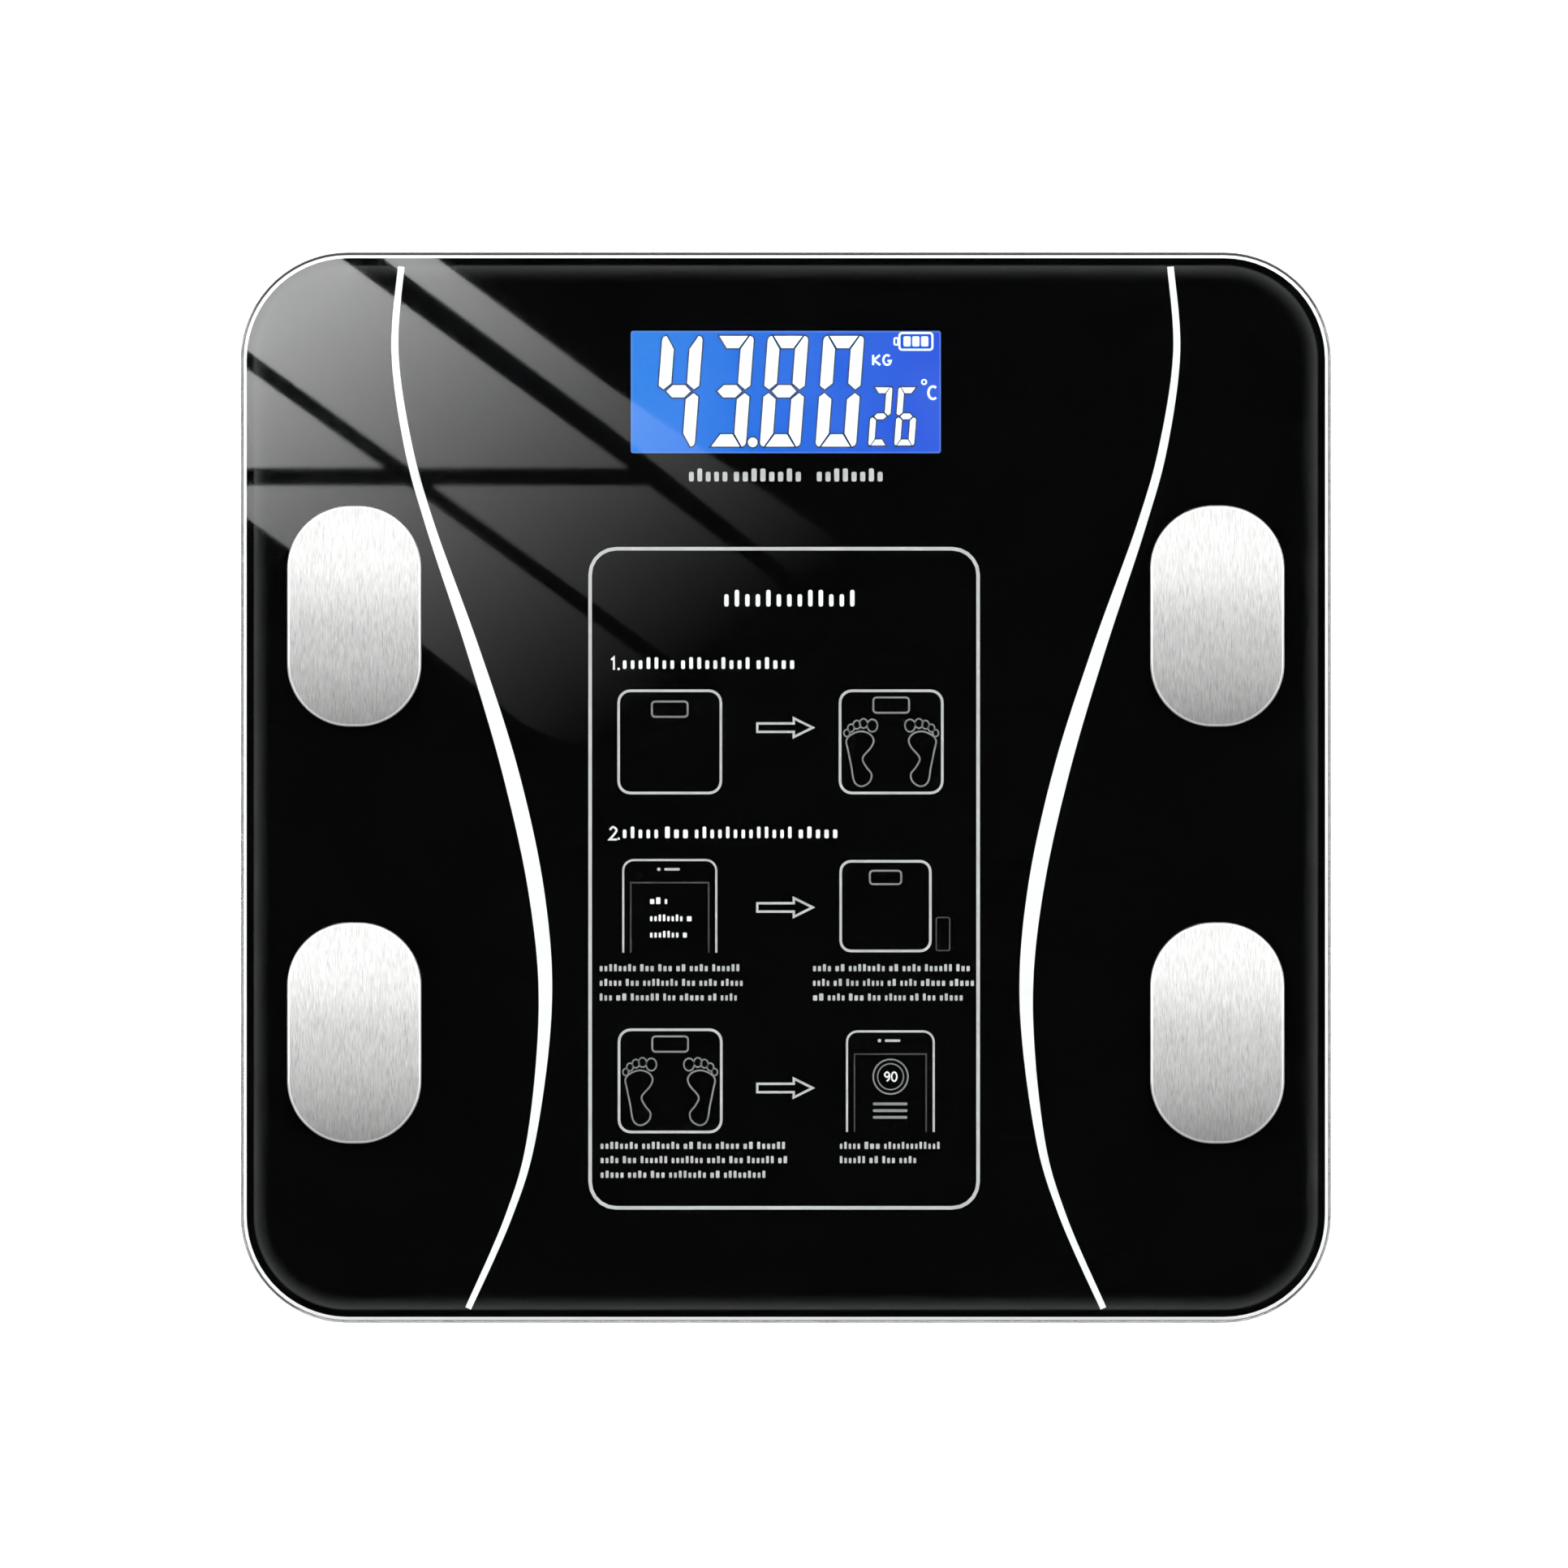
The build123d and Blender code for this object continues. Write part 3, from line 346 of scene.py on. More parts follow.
def black_print():
    """Black screen print, with a painted reflection of the glass's bevelled edge as a soft grey border that
    fades inwards.
    """
    made, tree, shader = material("black_print")
    x, y, _ = coordinates(tree)
    depth = edge_distance(tree, x, y, HALF_W, HALF_D, CORNER_R)
    # Painted reflection: the grey band stands for the glass's bevelled edge mirrored over the print, and is
    # not a grey ink.
    rise = spread(tree, depth, 0.0, 1.0, BEVEL_REFLECTION_START, BEVEL_REFLECTION_PEAK)
    fall = spread(tree, depth, 1.0, 0.0, BEVEL_REFLECTION_PEAK, BEVEL_REFLECTION_END)
    fade = maths(tree, "MULTIPLY", rise, maths(tree, "POWER", fall, BEVEL_REFLECTION_POWER))
    speck = spread(tree, noise(tree, 0.0003, detail=2.0), 0.8, 1.2)
    fade = maths(tree, "MULTIPLY", fade, speck)
    tone = mix(tree, fade, (0.0010, 0.0010, 0.0012, 1), (0.045, 0.0455, 0.046, 1))
    set_shader(
        tree, shader, Base_Color=tone, Roughness=spread(tree, noise(tree, 0.02), 0.5, 0.62),
        Specular_IOR_Level=0.012,
    )
    return made


def print_ink(name, colour):
    """Screen ink with the fine unevenness of the mesh it was pulled through."""
    made, tree, shader = material(name)
    mesh_mark = noise(tree, 0.00035, detail=1.0)
    pull = noise(tree, 0.012, (1, 3, 1), detail=2.0)
    tone = mix(tree, spread(tree, pull, 0.0, 1.0), shade(colour, 0.98), shade(colour, 1.0))
    tone = mix(tree, spread(tree, mesh_mark, 0.0, 0.25), tone, shade(colour, 0.91))
    set_shader(
        tree, shader, Base_Color=tone, Roughness=spread(tree, mesh_mark, 0.45, 0.6),
        Normal=bump(tree, mesh_mark, 0.000004),
    )
    return made


# The opening in the black print, and how far in from its edge the painted highlight on the display's rim
# fades out.
WINDOW_HALF_W, WINDOW_HALF_D, WINDOW_R, WINDOW_Y = 37.0, 14.6, 0.6, 94.4
WINDOW_RIM_HIGHLIGHT = (0.15, 0.5)


def display_pane():
    """Lit blue display: azure on the left, deeper blue on the right, a painted highlight on its rim and a
    fine cell grain.
    """
    made, tree, shader = material("display_pane")
    x, y, _ = coordinates(tree)
    across = spread(tree, x, 0.0, 1.0, LCD_LOW.x, LCD_HIGH.x)
    window_y = maths(tree, "SUBTRACT", y, WINDOW_Y * MM)
    depth = edge_distance(tree, x, window_y, WINDOW_HALF_W, WINDOW_HALF_D, WINDOW_R)
    rim_highlight = spread(tree, depth, 0.7, 0.0, *WINDOW_RIM_HIGHLIGHT)
    grain = noise(tree, 0.0009, detail=2.0)
    cloud = noise(tree, 0.03, detail=2.0)
    tone = mix(tree, across, (0.012, 0.25, 0.86, 1), (0.005, 0.042, 0.74, 1))
    tone = mix(tree, spread(tree, cloud, 0.0, 0.22), tone, (0.06, 0.28, 0.95, 1))
    tone = mix(tree, spread(tree, grain, 0.0, 0.16), tone, (0.015, 0.10, 0.62, 1))
    # Painted highlight: a lighter blue along the edge of the window.
    tone = mix(tree, rim_highlight, tone, (0.13, 0.28, 0.78, 1))
    set_shader(
        tree, shader, Base_Color=(0.003, 0.010, 0.05, 1), Emission_Color=tone, Emission_Strength=1.0,
        Roughness=spread(tree, cloud, 0.12, 0.2), Specular_IOR_Level=0.3,
    )
    return made


def lit(name, colour, shadow, strength):
    """A lit display shape, a little uneven as its backlight is."""
    made, tree, shader = material(name)
    cloud = noise(tree, 0.006, detail=2.0)
    tone = mix(tree, spread(tree, cloud, 0.0, 1.0), shadow, colour)
    set_shader(
        tree, shader, Base_Color=shade(colour, 0.3), Emission_Color=tone, Emission_Strength=strength,
        Roughness=spread(tree, cloud, 0.3, 0.4),
    )
    return made


ELECTRODE_DOME = 0.0030    # metres of apparent rise from an electrode's ends to its middle


def electrode_dome(tree):
    """The height of each electrode's gentle dome along Y, in metres."""
    _, y, _ = coordinates(tree)
    heights = []
    for corner in ("front_left", "rear_left"):
        low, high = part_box(f"electrode_{corner}")
        middle, half = (low.y + high.y) / 2, (high.y - low.y) / 2
        share = maths(tree, "MULTIPLY", maths(tree, "SUBTRACT", y, middle), 1 / half)
        fall = maths(tree, "MINIMUM", maths(tree, "MULTIPLY", share, share), 1.0)
        heights.append(maths(tree, "SUBTRACT", 1.0, fall))
    return maths(tree, "MULTIPLY", maths(tree, "MAXIMUM", *heights), ELECTRODE_DOME)


RIM_HIGHLIGHT_START, RIM_HIGHLIGHT_END = 0.45, 0.70    # the painted highlight on the electrodes' rim fades out this far from their edge
ELECTRODE_R = 15.0                 # radius of the electrodes' corners


def electrode_rim_highlight(tree):
    """1 on the rim of the electrodes, where a highlight is painted, and 0 inside it."""
    x, y, _ = coordinates(tree)
    front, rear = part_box("electrode_front_right"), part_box("electrode_rear_right")
    half_w = (front[1].x - front[0].x) / 2 / MM
    half_d = (front[1].y - front[0].y) / 2 / MM
    column = (front[0].x + front[1].x) / 2
    front_y, rear_y = ((low.y + high.y) / 2 for low, high in (front, rear))
    across = maths(tree, "SUBTRACT", maths(tree, "ABSOLUTE", x), column)
    along = maths(tree, "ABSOLUTE", maths(tree, "SUBTRACT", y, (front_y + rear_y) / 2))
    along = maths(tree, "SUBTRACT", along, (front_y - rear_y) / 2)
    depth = edge_distance(tree, across, along, half_w, half_d, ELECTRODE_R)
    return spread(tree, depth, 1.0, 0.0, RIM_HIGHLIGHT_START, RIM_HIGHLIGHT_END)


def circuit_board():
    """Green solder mask over copper tracks."""
    made, tree, shader = material("board")
    mapped = add(tree, "ShaderNodeMapping", {"Vector": place(tree), "Scale": (260, 420, 1)})
    tracks = add(tree, "ShaderNodeTexBrick", {
        "Vector": mapped.outputs[0], "Color1": (0.020, 0.130, 0.055, 1), "Color2": (0.026, 0.165, 0.070, 1),
        "Mortar": (0.055, 0.26, 0.10, 1), "Scale": 1.0, "Mortar Size": 0.06, "Brick Width": 1.7,
        "Row Height": 0.55,
    })
    weave = noise(tree, 0.0012, detail=2.0)
    tone = mix(tree, spread(tree, weave, 0.0, 0.3), tracks.outputs["Color"], (0.015, 0.09, 0.04, 1))
    set_shader(
        tree, shader, Base_Color=tone, Roughness=spread(tree, weave, 0.25, 0.36),
        Normal=bump(tree, tracks.outputs["Fac"], 0.00002),
    )
    return made


BAND_IN, BAND_OUT = 0.0125, 0.0120    # the jacket's band starts this far from the battery's end


def battery_jacket():
    """Printed cell jacket: a dark body with a copper-coloured band near one end."""
    made, tree, shader = material("battery_jacket")
    x, _, _ = coordinates(tree)
    _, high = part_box("battery_a")
    along = maths(tree, "ABSOLUTE", x)
    band = spread(tree, along, 0.0, 1.0, high.x - BAND_IN, high.x - BAND_OUT)
    scuff = noise(tree, 0.003, (4, 1, 1))
    tone = mix(tree, band, (0.018, 0.022, 0.032, 1), (0.62, 0.30, 0.12, 1))
    tone = mix(tree, spread(tree, scuff, 0.0, 0.2), tone, (0.35, 0.34, 0.33, 1))
    set_shader(tree, shader, Base_Color=tone, Metallic=0.55, Roughness=spread(tree, scuff, 0.24, 0.4))
    return made


STEEL = (0.435, 0.435, 0.432)
MATERIALS = {
    "clear_glass": clear_glass(),
    "black_print": black_print(),
    "white_print": print_ink("white_print", (0.99, 0.991, 0.992)),
    "thin_print": print_ink("thin_print", (0.60, 0.595, 0.60)),
    "faint_print": print_ink("faint_print", (0.27, 0.265, 0.27)),
    "ghost_print": print_ink("ghost_print", (0.055, 0.054, 0.056)),
    "display_glass": display_pane(),
    "lit_segment": lit("lit_segment", (0.90, 1.0, 1.0, 1), (0.72, 0.93, 0.97, 1), 1.0),
    "segment_edge": lit("segment_edge", (0.004, 0.016, 0.11, 1), (0.006, 0.024, 0.15, 1), 0.6),
    "battery_jacket": battery_jacket(),
    "board": circuit_board(),
    "electrode_steel": brushed(
        "electrode_steel", STEEL, rough=(0.27, 0.36), line=0.00016, run=16.0, depth=0.000005,
        crown=electrode_dome, rim_highlight=electrode_rim_highlight,
    ),
    "cell_steel": brushed("cell_steel", (0.56, 0.57, 0.58), along="x", rough=(0.3, 0.45)),
    "zinc_steel": brushed("zinc_steel", (0.62, 0.63, 0.66), line=0.0002, run=4.0),
    "spring_steel": brushed("spring_steel", (0.68, 0.68, 0.67), line=0.0002, run=6.0, along="z"),
    "tinned_brass": brushed("tinned_brass", (0.72, 0.70, 0.64), line=0.0002, run=4.0, along="x"),
    "radio_can": brushed("radio_can", (0.72, 0.73, 0.74), line=0.0003, run=10.0),
    "base_plastic": moulded(
        "base_plastic", (0.016, 0.016, 0.0175), rough=(0.38, 0.5), Specular_IOR_Level=0.4,
    ),
    "door_plastic": moulded("door_plastic", (0.026, 0.026, 0.028), rough=(0.44, 0.58)),
    "foot_plastic": moulded("foot_plastic", (0.030, 0.030, 0.032), rough=(0.36, 0.48)),
    "foot_rubber": moulded(
        "foot_rubber", (0.075, 0.075, 0.078), rough=(0.7, 0.86), grain=0.0006, depth=0.00003,
    ),
    "foam_tape": moulded(
        "foam_tape", (0.020, 0.020, 0.020), rough=(0.8, 0.95), grain=0.00025, depth=0.00006,
    ),
    "clear_glue": moulded(
        "clear_glue", (0.10, 0.10, 0.105), rough=(0.2, 0.35), grain=0.002, depth=0.000004,
    ),
    "insulator": moulded("insulator", (0.74, 0.74, 0.70), rough=(0.4, 0.5)),
    "light_guide": moulded("light_guide", (0.25, 0.55, 0.92), rough=(0.12, 0.2), depth=0.000004),
    "white_plastic": moulded("white_plastic", (0.76, 0.76, 0.73), rough=(0.38, 0.5)),
    "chip_black": moulded("chip_black", (0.018, 0.018, 0.019), rough=(0.5, 0.62), grain=0.00015),
    "component_ceramic": moulded("component_ceramic", (0.34, 0.24, 0.15), rough=(0.35, 0.5), blotch=0.003),
    "button_plastic": moulded("button_plastic", (0.17, 0.17, 0.175), rough=(0.4, 0.52)),
    "silicone": moulded("silicone", (0.74, 0.74, 0.70), rough=(0.2, 0.32), grain=0.002, depth=0.00004),
    "wire_jacket": moulded("wire_jacket", (0.50, 0.06, 0.05), rough=(0.34, 0.46), blotch=0.01),
}


def dress_cad_parts():
    """Gives every CAD part the finish of its slot in the record."""
    for entry in frame["record"]["subparts"]:
        part = frame["nodes"][entry["node"]]
        part.data.materials.clear()
        part.data.materials.append(MATERIALS[entry["material_slot"]])


# ---- White print: the two long curves and the panel with its drawings ----
CURVE = [    # x, y and width of the left curve, from the display's edge down
    (-91.8, 124.3, 1.5), (-93.3, 104.0, 1.6), (-90.1, 81.4, 1.9), (-84.7, 62.0, 2.1), (-74.7, 33.0, 3.0),
    (-65.8, 4.0, 3.7), (-59.5, -25.1, 3.6), (-57.4, -52.0, 3.0), (-60.6, -83.1, 2.0), (-66.2, -102.5, 1.6),
    (-75.8, -124.3, 1.4),
]
CURVE_WIDTH = 1.04    # scales the widths above
PANEL = (-46.7, 45.9, -100.3, 57.0)    # left, right, lower and upper edge
PANEL_R = 6.2

# Line widths of the drawings.
BORDER_LINE = 0.84
SCALE_LINE = 0.62
ARROW_LINE = 0.55
PHONE_LINE = 0.5
DIGIT_LINE = 0.5
WINDOW_LINE = 0.44
SOLE_LINE = 0.38
FIGURE_LINE = 0.36
TOE_LINE = 0.34
SCREEN_LINE = 0.3
STRIP_LINE = 0.28


def side_curve(side):
    def draw(bm):
        curve = smooth(CURVE, steps=10)
        ink_line(bm, [(-side * x, y) for x, y, _ in curve], [CURVE_WIDTH * w for _, _, w in curve])
    return draw


def outline(bm, x0, x1, y0, y1, radius, width):
    ink_line(bm, rounded(x0, x1, y0, y1, radius), width, closed=True)


# Blocks that stand for text. Their sizes are shares of the line's height.
BLOCK_PITCH = 0.62
BLOCK_RADIUS = 0.11
BLOCK_FOOT = 0.5
TALL_RISE, SHORT_RISE = 0.5, 0.24
CLOSE_SPACE, WIDE_SPACE = 0.28, 0.36
TALL_BLOCKS = (1, 0, 0, 1, 0, 0, 1, 0, 0, 0, 1)    # which blocks of a word stand taller, over and over


def word_blocks(bm, x0, x1, y, height, words, space=CLOSE_SPACE):
    """One line of text as rows of plain rounded blocks; words gives the rows' relative lengths."""
    gap = (space + 0.06) * height + 0.5
    scale = (x1 - x0 - gap * (len(words) - 1)) / sum(words)
    foot, radius = y - BLOCK_FOOT * height, BLOCK_RADIUS * height
    left = x0
    for word in words:
        length = word * scale
        count = max(round(length / (BLOCK_PITCH * height)), 1)
        clear = space * height if count > 1 else 0.0
        wide = (length - clear * (count - 1)) / count
        for i in range(count):
            start = left + i * (wide + clear)
            rise = TALL_RISE if TALL_BLOCKS[(i + count) % len(TALL_BLOCKS)] else SHORT_RISE
            ink_plate(bm, rounded(start, start + wide, foot, y + rise * height, radius, steps=2))
        left += length + gap


def arrow(bm, y):
    """Outline of an arrow that points right."""
    shaft, head, start, neck, tip = 1.0, 2.25, -6.8, 1.9, 6.4
    ink_line(bm, [
        (start, y - shaft), (neck, y - shaft), (neck, y - head), (tip, y), (neck, y + head),
        (neck, y + shaft), (start, y + shaft),
    ], ARROW_LINE, closed=True)


# The drawn scales: the middle's x and y, and the size.
FIRST_SCALE = (-27.7, 10.9, 24.4)
STOOD_ON_SCALE = (25.15, 10.9, 24.4)
PAIRED_SCALE = (23.8, -28.3, 21.4)
LAST_SCALE = (-27.6, -70.0, 24.4)
LOW_WINDOW, HIGH_WINDOW = 0.105, 0.065    # a window's drop from the scale's top, as a share of its size


def little_scale(bm, x, y, size):
    """A scale seen from above, as a rounded square."""
    half = size / 2
    outline(bm, x - half, x + half, y - half, y + half, 0.115 * size, SCALE_LINE)


def little_window(bm, x, y, size, drop):
    """The display window of a drawn scale."""
    top = y + size / 2 - drop * size
    outline(bm, x - 0.175 * size, x + 0.175 * size, top - 0.15 * size, top, 0.8, WINDOW_LINE)


SOLE = [    # the left foot, from the middle of the drawn scale
    (-9.6, 1.7), (-7.4, 2.5), (-5.3, 2.0), (-4.2, 0.5), (-4.8, -1.3), (-6.8, -3.8), (-6.0, -5.9),
    (-4.7, -7.7), (-5.2, -9.6), (-7.1, -10.6), (-8.8, -9.5), (-9.5, -5.9), (-10.3, -2.0), (-10.7, 0.3),
]
TOES = [    # x, y and half width
    (-4.5, 3.9, 1.25), (-6.6, 4.4, 0.95), (-8.2, 4.1, 0.85), (-9.6, 3.3, 0.78), (-10.6, 2.1, 0.70),
]


def footprints(bm, x, y):
    for side in (-1, 1):
        ink_line(bm, smooth([(x - side * px, y + py) for px, py in SOLE], 5, True), SOLE_LINE, closed=True)
        for tx, ty, radius in TOES:
            ink_line(bm, ring(x - side * tx, y + ty, radius, tall=1.2, steps=14), TOE_LINE, closed=True)


FIRST_PHONE = (-38.8, -16.6, -17.3, -39.4)    # left, right, top and bottom
LAST_PHONE = (14.6, 35.3, -58.2, -82.2)
DIAL = (25.0, -69.0)                          # on the last phone
DIAL_RINGS = ((4.15, 0.36), (3.1, 0.28))      # radius and line width
BARS_Y = (-75.5, -77.1, -78.7)                # rows below the dial
BARS_X = (20.8, 29.0)
BAR_HALF = 0.33
STRIP = (35.9, 39.1, -38.9, -31.0)            # left, right, lower and upper edge


def phone(bm, x0, x1, top, bottom):
    """A phone's upper part, open below, with its speaker."""
    radius = 2.5
    path = [(x0, bottom), *arc(x0 + radius, top - radius, radius, 180, 90, 6)]
    path += [*arc(x1 - radius, top - radius, radius, 90, 0, 6), (x1, bottom)]
    ink_line(bm, path, PHONE_LINE)
    middle = (x0 + x1) / 2
    ink_plate(bm, ring(middle - 2.6, top - 2.2, 0.42, steps=12))
    ink_plate(bm, rounded(middle - 1.3, middle + 2.4, top - 2.5, top - 1.9, 0.28, steps=3))


def phone_screen(bm, x0, x1, top, bottom):
    inset, screen_top = 1.8, top - 5.4
    screen = [(x0 + inset, bottom), (x0 + inset, screen_top), (x1 - inset, screen_top), (x1 - inset, bottom)]
    ink_line(bm, screen, SCREEN_LINE)


TWO = [(0.05, 0.76), (0.45, 1.0), (0.90, 0.74), (0.45, 0.30), (0.02, 0.0)]
NINE = [(0.90, 0.72), (0.48, 0.44), (0.06, 0.72), (0.48, 1.0), (0.90, 0.72), (0.80, 0.26), (0.42, 0.0)]
STROKES = {    # each mark's path in a box of 1 by 1, and whether it is closed
    "1": ([(0.15, 0.78), (0.55, 1.0), (0.55, 0.0)], False),
    "2": (smooth(TWO, 5) + [(0.95, 0.0)], False),
    "9": (smooth(NINE, 5), False),
    "0": (ring(0.48, 0.5, 0.44, tall=1.12, steps=18), True),
    "K": ([(0.05, 1.0), (0.05, 0.0)], False),
    "K2": ([(0.85, 1.0), (0.12, 0.48), (0.9, 0.0)], False),
    "G": (arc(0.5, 0.5, 0.45, 50, 350, 14, 1.08) + [(0.55, 0.42)], False),
    "C": (arc(0.5, 0.5, 0.45, 50, 310, 12, 1.08), False),
}


def stroke_mark(bm, mark, x, y, width, height, stroke, low=INK_LOW, high=INK_HIGH):
    """A figure or unit letter drawn with a plain line; x and y are its lower left corner."""
    points, closed = STROKES[mark]
    add_line(bm, [(x + px * width, y + py * height) for px, py in points], stroke, low, high, closed)


# Lines of text: left end, right end, y, and the words' relative lengths.
HEADING_HEIGHT, STEP_HEIGHT, RATING_HEIGHT, CAPTION_HEIGHT, PHONE_TEXT_HEIGHT = 4.0, 2.8, 3.1, 1.7, 1.6
HEADING = (-14.7, 16.4, 45.2, [1])
STEP_HEADINGS = [
    (-38.9, 2.0, 29.7, [6, 8, 4.4]),
    (-38.9, 12.3, -10.7, [4, 2.6, 11, 4.4]),
]
RATING = [
    (-23.1, 3.6, 74.6, [1.2, 2.1]),
    (7.4, 23.1, 74.6, [1]),
]
CAPTIONS = [
    (-44.4, -11.1, -43.0, [8, 3, 3, 2, 4, 6]),
    (-44.4, -10.3, -46.5, [5, 3, 8, 3, 4, 5]),
    (-44.4, -11.7, -50.0, [3, 2.5, 7, 3, 6, 2, 4]),
    (6.5, 43.9, -43.0, [4, 2, 8, 2, 4, 6, 3]),
    (6.5, 44.9, -46.5, [4, 2, 3, 5, 2, 4, 6, 6]),
    (6.5, 42.2, -50.0, [2.5, 4, 3.5, 3, 5, 2, 3, 5.5]),
    (-44.2, -0.2, -85.4, [8, 8, 2, 3, 5, 2, 6]),
    (-44.2, 0.3, -88.8, [4, 3, 6, 7, 4, 3, 6, 2]),
    (-44.2, -4.9, -92.3, [5, 4, 3, 8, 2, 9]),
    (12.9, 36.7, -85.4, [4, 3, 11]),
    (12.9, 31.1, -88.8, [6, 2, 3, 4]),
]
PHONE_TEXT = [
    (-32.4, -28.3, -27.0, [4, 1]),
    (-32.4, -22.5, -31.1, [7, 1]),
    (-32.4, -23.6, -35.0, [7, 1]),
]


def text_lines(bm, lines, height, space=CLOSE_SPACE):
    for left, right, y, words in lines:
        word_blocks(bm, left, right, y, height, words, space)


def panel_border(bm):
    outline(bm, *PANEL, PANEL_R, BORDER_LINE)


def panel_headings(bm):
    text_lines(bm, [HEADING], HEADING_HEIGHT, WIDE_SPACE)
    text_lines(bm, STEP_HEADINGS, STEP_HEIGHT, WIDE_SPACE)
    stroke_mark(bm, "1", -41.9, 28.1, 1.6, 3.0, DIGIT_LINE)
    stroke_mark(bm, "2", -42.1, -12.4, 1.9, 3.0, DIGIT_LINE)
    for y in (28.3, -12.2):
        ink_plate(bm, ring(-39.9, y, 0.32, steps=10))


def rating_line(bm):
    text_lines(bm, RATING, RATING_HEIGHT)


def captions(bm):
    text_lines(bm, CAPTIONS, CAPTION_HEIGHT)


def step_outlines(bm):
    little_scale(bm, *FIRST_SCALE)
    arrow(bm, 14.3)
    little_scale(bm, *STOOD_ON_SCALE)
    phone(bm, *FIRST_PHONE)
    arrow(bm, -28.6)
    little_scale(bm, *PAIRED_SCALE)
    little_scale(bm, *LAST_SCALE)
    arrow(bm, -71.7)
    phone(bm, *LAST_PHONE)


def step_details(bm):
    """What lies inside the outlines: windows, footprints and the phone's dial."""
    little_window(bm, *FIRST_SCALE, LOW_WINDOW)
    little_window(bm, *STOOD_ON_SCALE, HIGH_WINDOW)
    footprints(bm, *STOOD_ON_SCALE[:2])
    little_window(bm, *PAIRED_SCALE, LOW_WINDOW)
    little_window(bm, *LAST_SCALE, HIGH_WINDOW)
    footprints(bm, *LAST_SCALE[:2])
    for radius, width in DIAL_RINGS:
        ink_line(bm, ring(*DIAL, radius), width, closed=True)
    for y in BARS_Y:
        ink_plate(bm, rounded(*BARS_X, y - BAR_HALF, y + BAR_HALF, 0.28, steps=3))


def step_rules(bm):
    """The faintest lines: the phones' screens and a strip at the side of the second step's scale."""
    phone_screen(bm, *FIRST_PHONE)
    phone_screen(bm, *LAST_PHONE)
    outline(bm, *STRIP, 0.5, STRIP_LINE)


def step_figures(bm):
    """The words on the first phone and the figure in the last phone's dial."""
    text_lines(bm, PHONE_TEXT, PHONE_TEXT_HEIGHT)
    stroke_mark(bm, "9", 23.5, -70.1, 1.4, 2.2, FIGURE_LINE)
    stroke_mark(bm, "0", 25.2, -70.1, 1.4, 2.2, FIGURE_LINE)


def print_pieces():
    ink("side_curve_left", side_curve(1))
    ink("side_curve_right", side_curve(-1))
    ink("panel_border", panel_border, "thin_print")
    ink("panel_headings", panel_headings)
    ink("rating_line", rating_line, "thin_print")
    ink("caption_lines", captions, "thin_print")
    ink("step_outlines", step_outlines, "thin_print")
    ink("step_details", step_details, "faint_print")
    ink("step_rules", step_rules, "ghost_print")
    ink("step_figures", step_figures)


# ---- Display shapes ----
SLANT = 0.075           # sideways shift for each unit of height
CHAMFER = 0.32          # cut off a digit's corners, as a share of the segment width
DARK_EDGE = 0.36        # how far the dark edge reaches past each lit segment
DIGIT_SEGMENTS = {"0": "abcdef", "2": "abged", "3": "abgcd", "4": "fgbc", "6": "afgecd", "8": "abcdefg"}
BIG_DIGITS = [("4", -31.4), ("3", -19.2), ("8", -6.2), ("0", 7.1)]    # figure and left edge
SMALL_DIGITS = [("2", 19.7), ("6", 25.9)]
BIG_SIZE = (81.4, 9.6, 26.4, 2.9, 0.46)    # lower edge, width, height, segment width and gap
SMALL_SIZE = (81.7, 4.7, 13.8, 1.35, 0.24)
POINT = (-7.9, 82.4, 1.15)    # the decimal point's middle and radius


def segments(width, height, t, gap):
    """The seven segments of a digit as mitred outlines, before they are slanted. t is their width."""
    def across(shape):
        return [(width - x, y) for x, y in reversed(shape)]

    def below(shape):
        return [(x, height - y) for x, y in reversed(shape)]

    m = height / 2
    cut = CHAMFER * t
    top = [
        (cut + gap, height), (t + gap, height - t),
        (width - t - gap, height - t), (width - cut - gap, height),
    ]
    left = [
        (0, height - cut), (0, m + 0.3 * t + gap), (0.4 * t, m + gap), (t, m + 0.5 * t + gap),
        (t, height - t - 0.5 * gap), (cut, height), (0.3 * cut, height - 0.3 * cut),
    ]
    middle = [
        (0.5 * t + gap, m), (t + gap, m - 0.5 * t), (width - t - gap, m - 0.5 * t),
        (width - 0.5 * t - gap, m), (width - t - gap, m + 0.5 * t), (t + gap, m + 0.5 * t),
    ]
    return {
        "a": top, "d": below(top), "f": left, "b": across(left), "e": below(left), "c": across(below(left)),
        "g": middle,
    }


def lit_outlines():
    """Outlines of all digits' lit segments and of the decimal point, slanted and in place."""
    digits = [(*digit, *BIG_SIZE) for digit in BIG_DIGITS] + [(*digit, *SMALL_SIZE) for digit in SMALL_DIGITS]
    shapes = []
    for figure, x, y, width, height, t, gap in digits:
        for name, shape in segments(width, height, t, gap).items():
            if name in DIGIT_SEGMENTS[figure]:
                shapes.append([(x + px + SLANT * py, y + py) for px, py in shape])
    shapes.append(ring(*POINT, steps=16))
    return shapes


def counter_clockwise(shape):
    area = sum(a[0] * b[1] - b[0] * a[1] for a, b in zip(shape, shape[1:] + shape[:1]))
    return shape if area > 0 else shape[::-1]


def draw_digits(bm):
    for shape in lit_outlines():
        add_plate(bm, shape, SHAPE_MID, SHAPE_HIGH)


def draw_digit_edges(bm):
    for shape in lit_outlines():
        add_plate(bm, offset(counter_clockwise(shape), -DARK_EDGE, True), SHAPE_LOW, SHAPE_MID)


BATTERY_LINE, BATTERY_CAP_LINE = 0.5, 0.4
WEIGHT_UNIT_LINE, HEAT_UNIT_LINE, DEGREE_LINE = 0.52, 0.58, 0.38


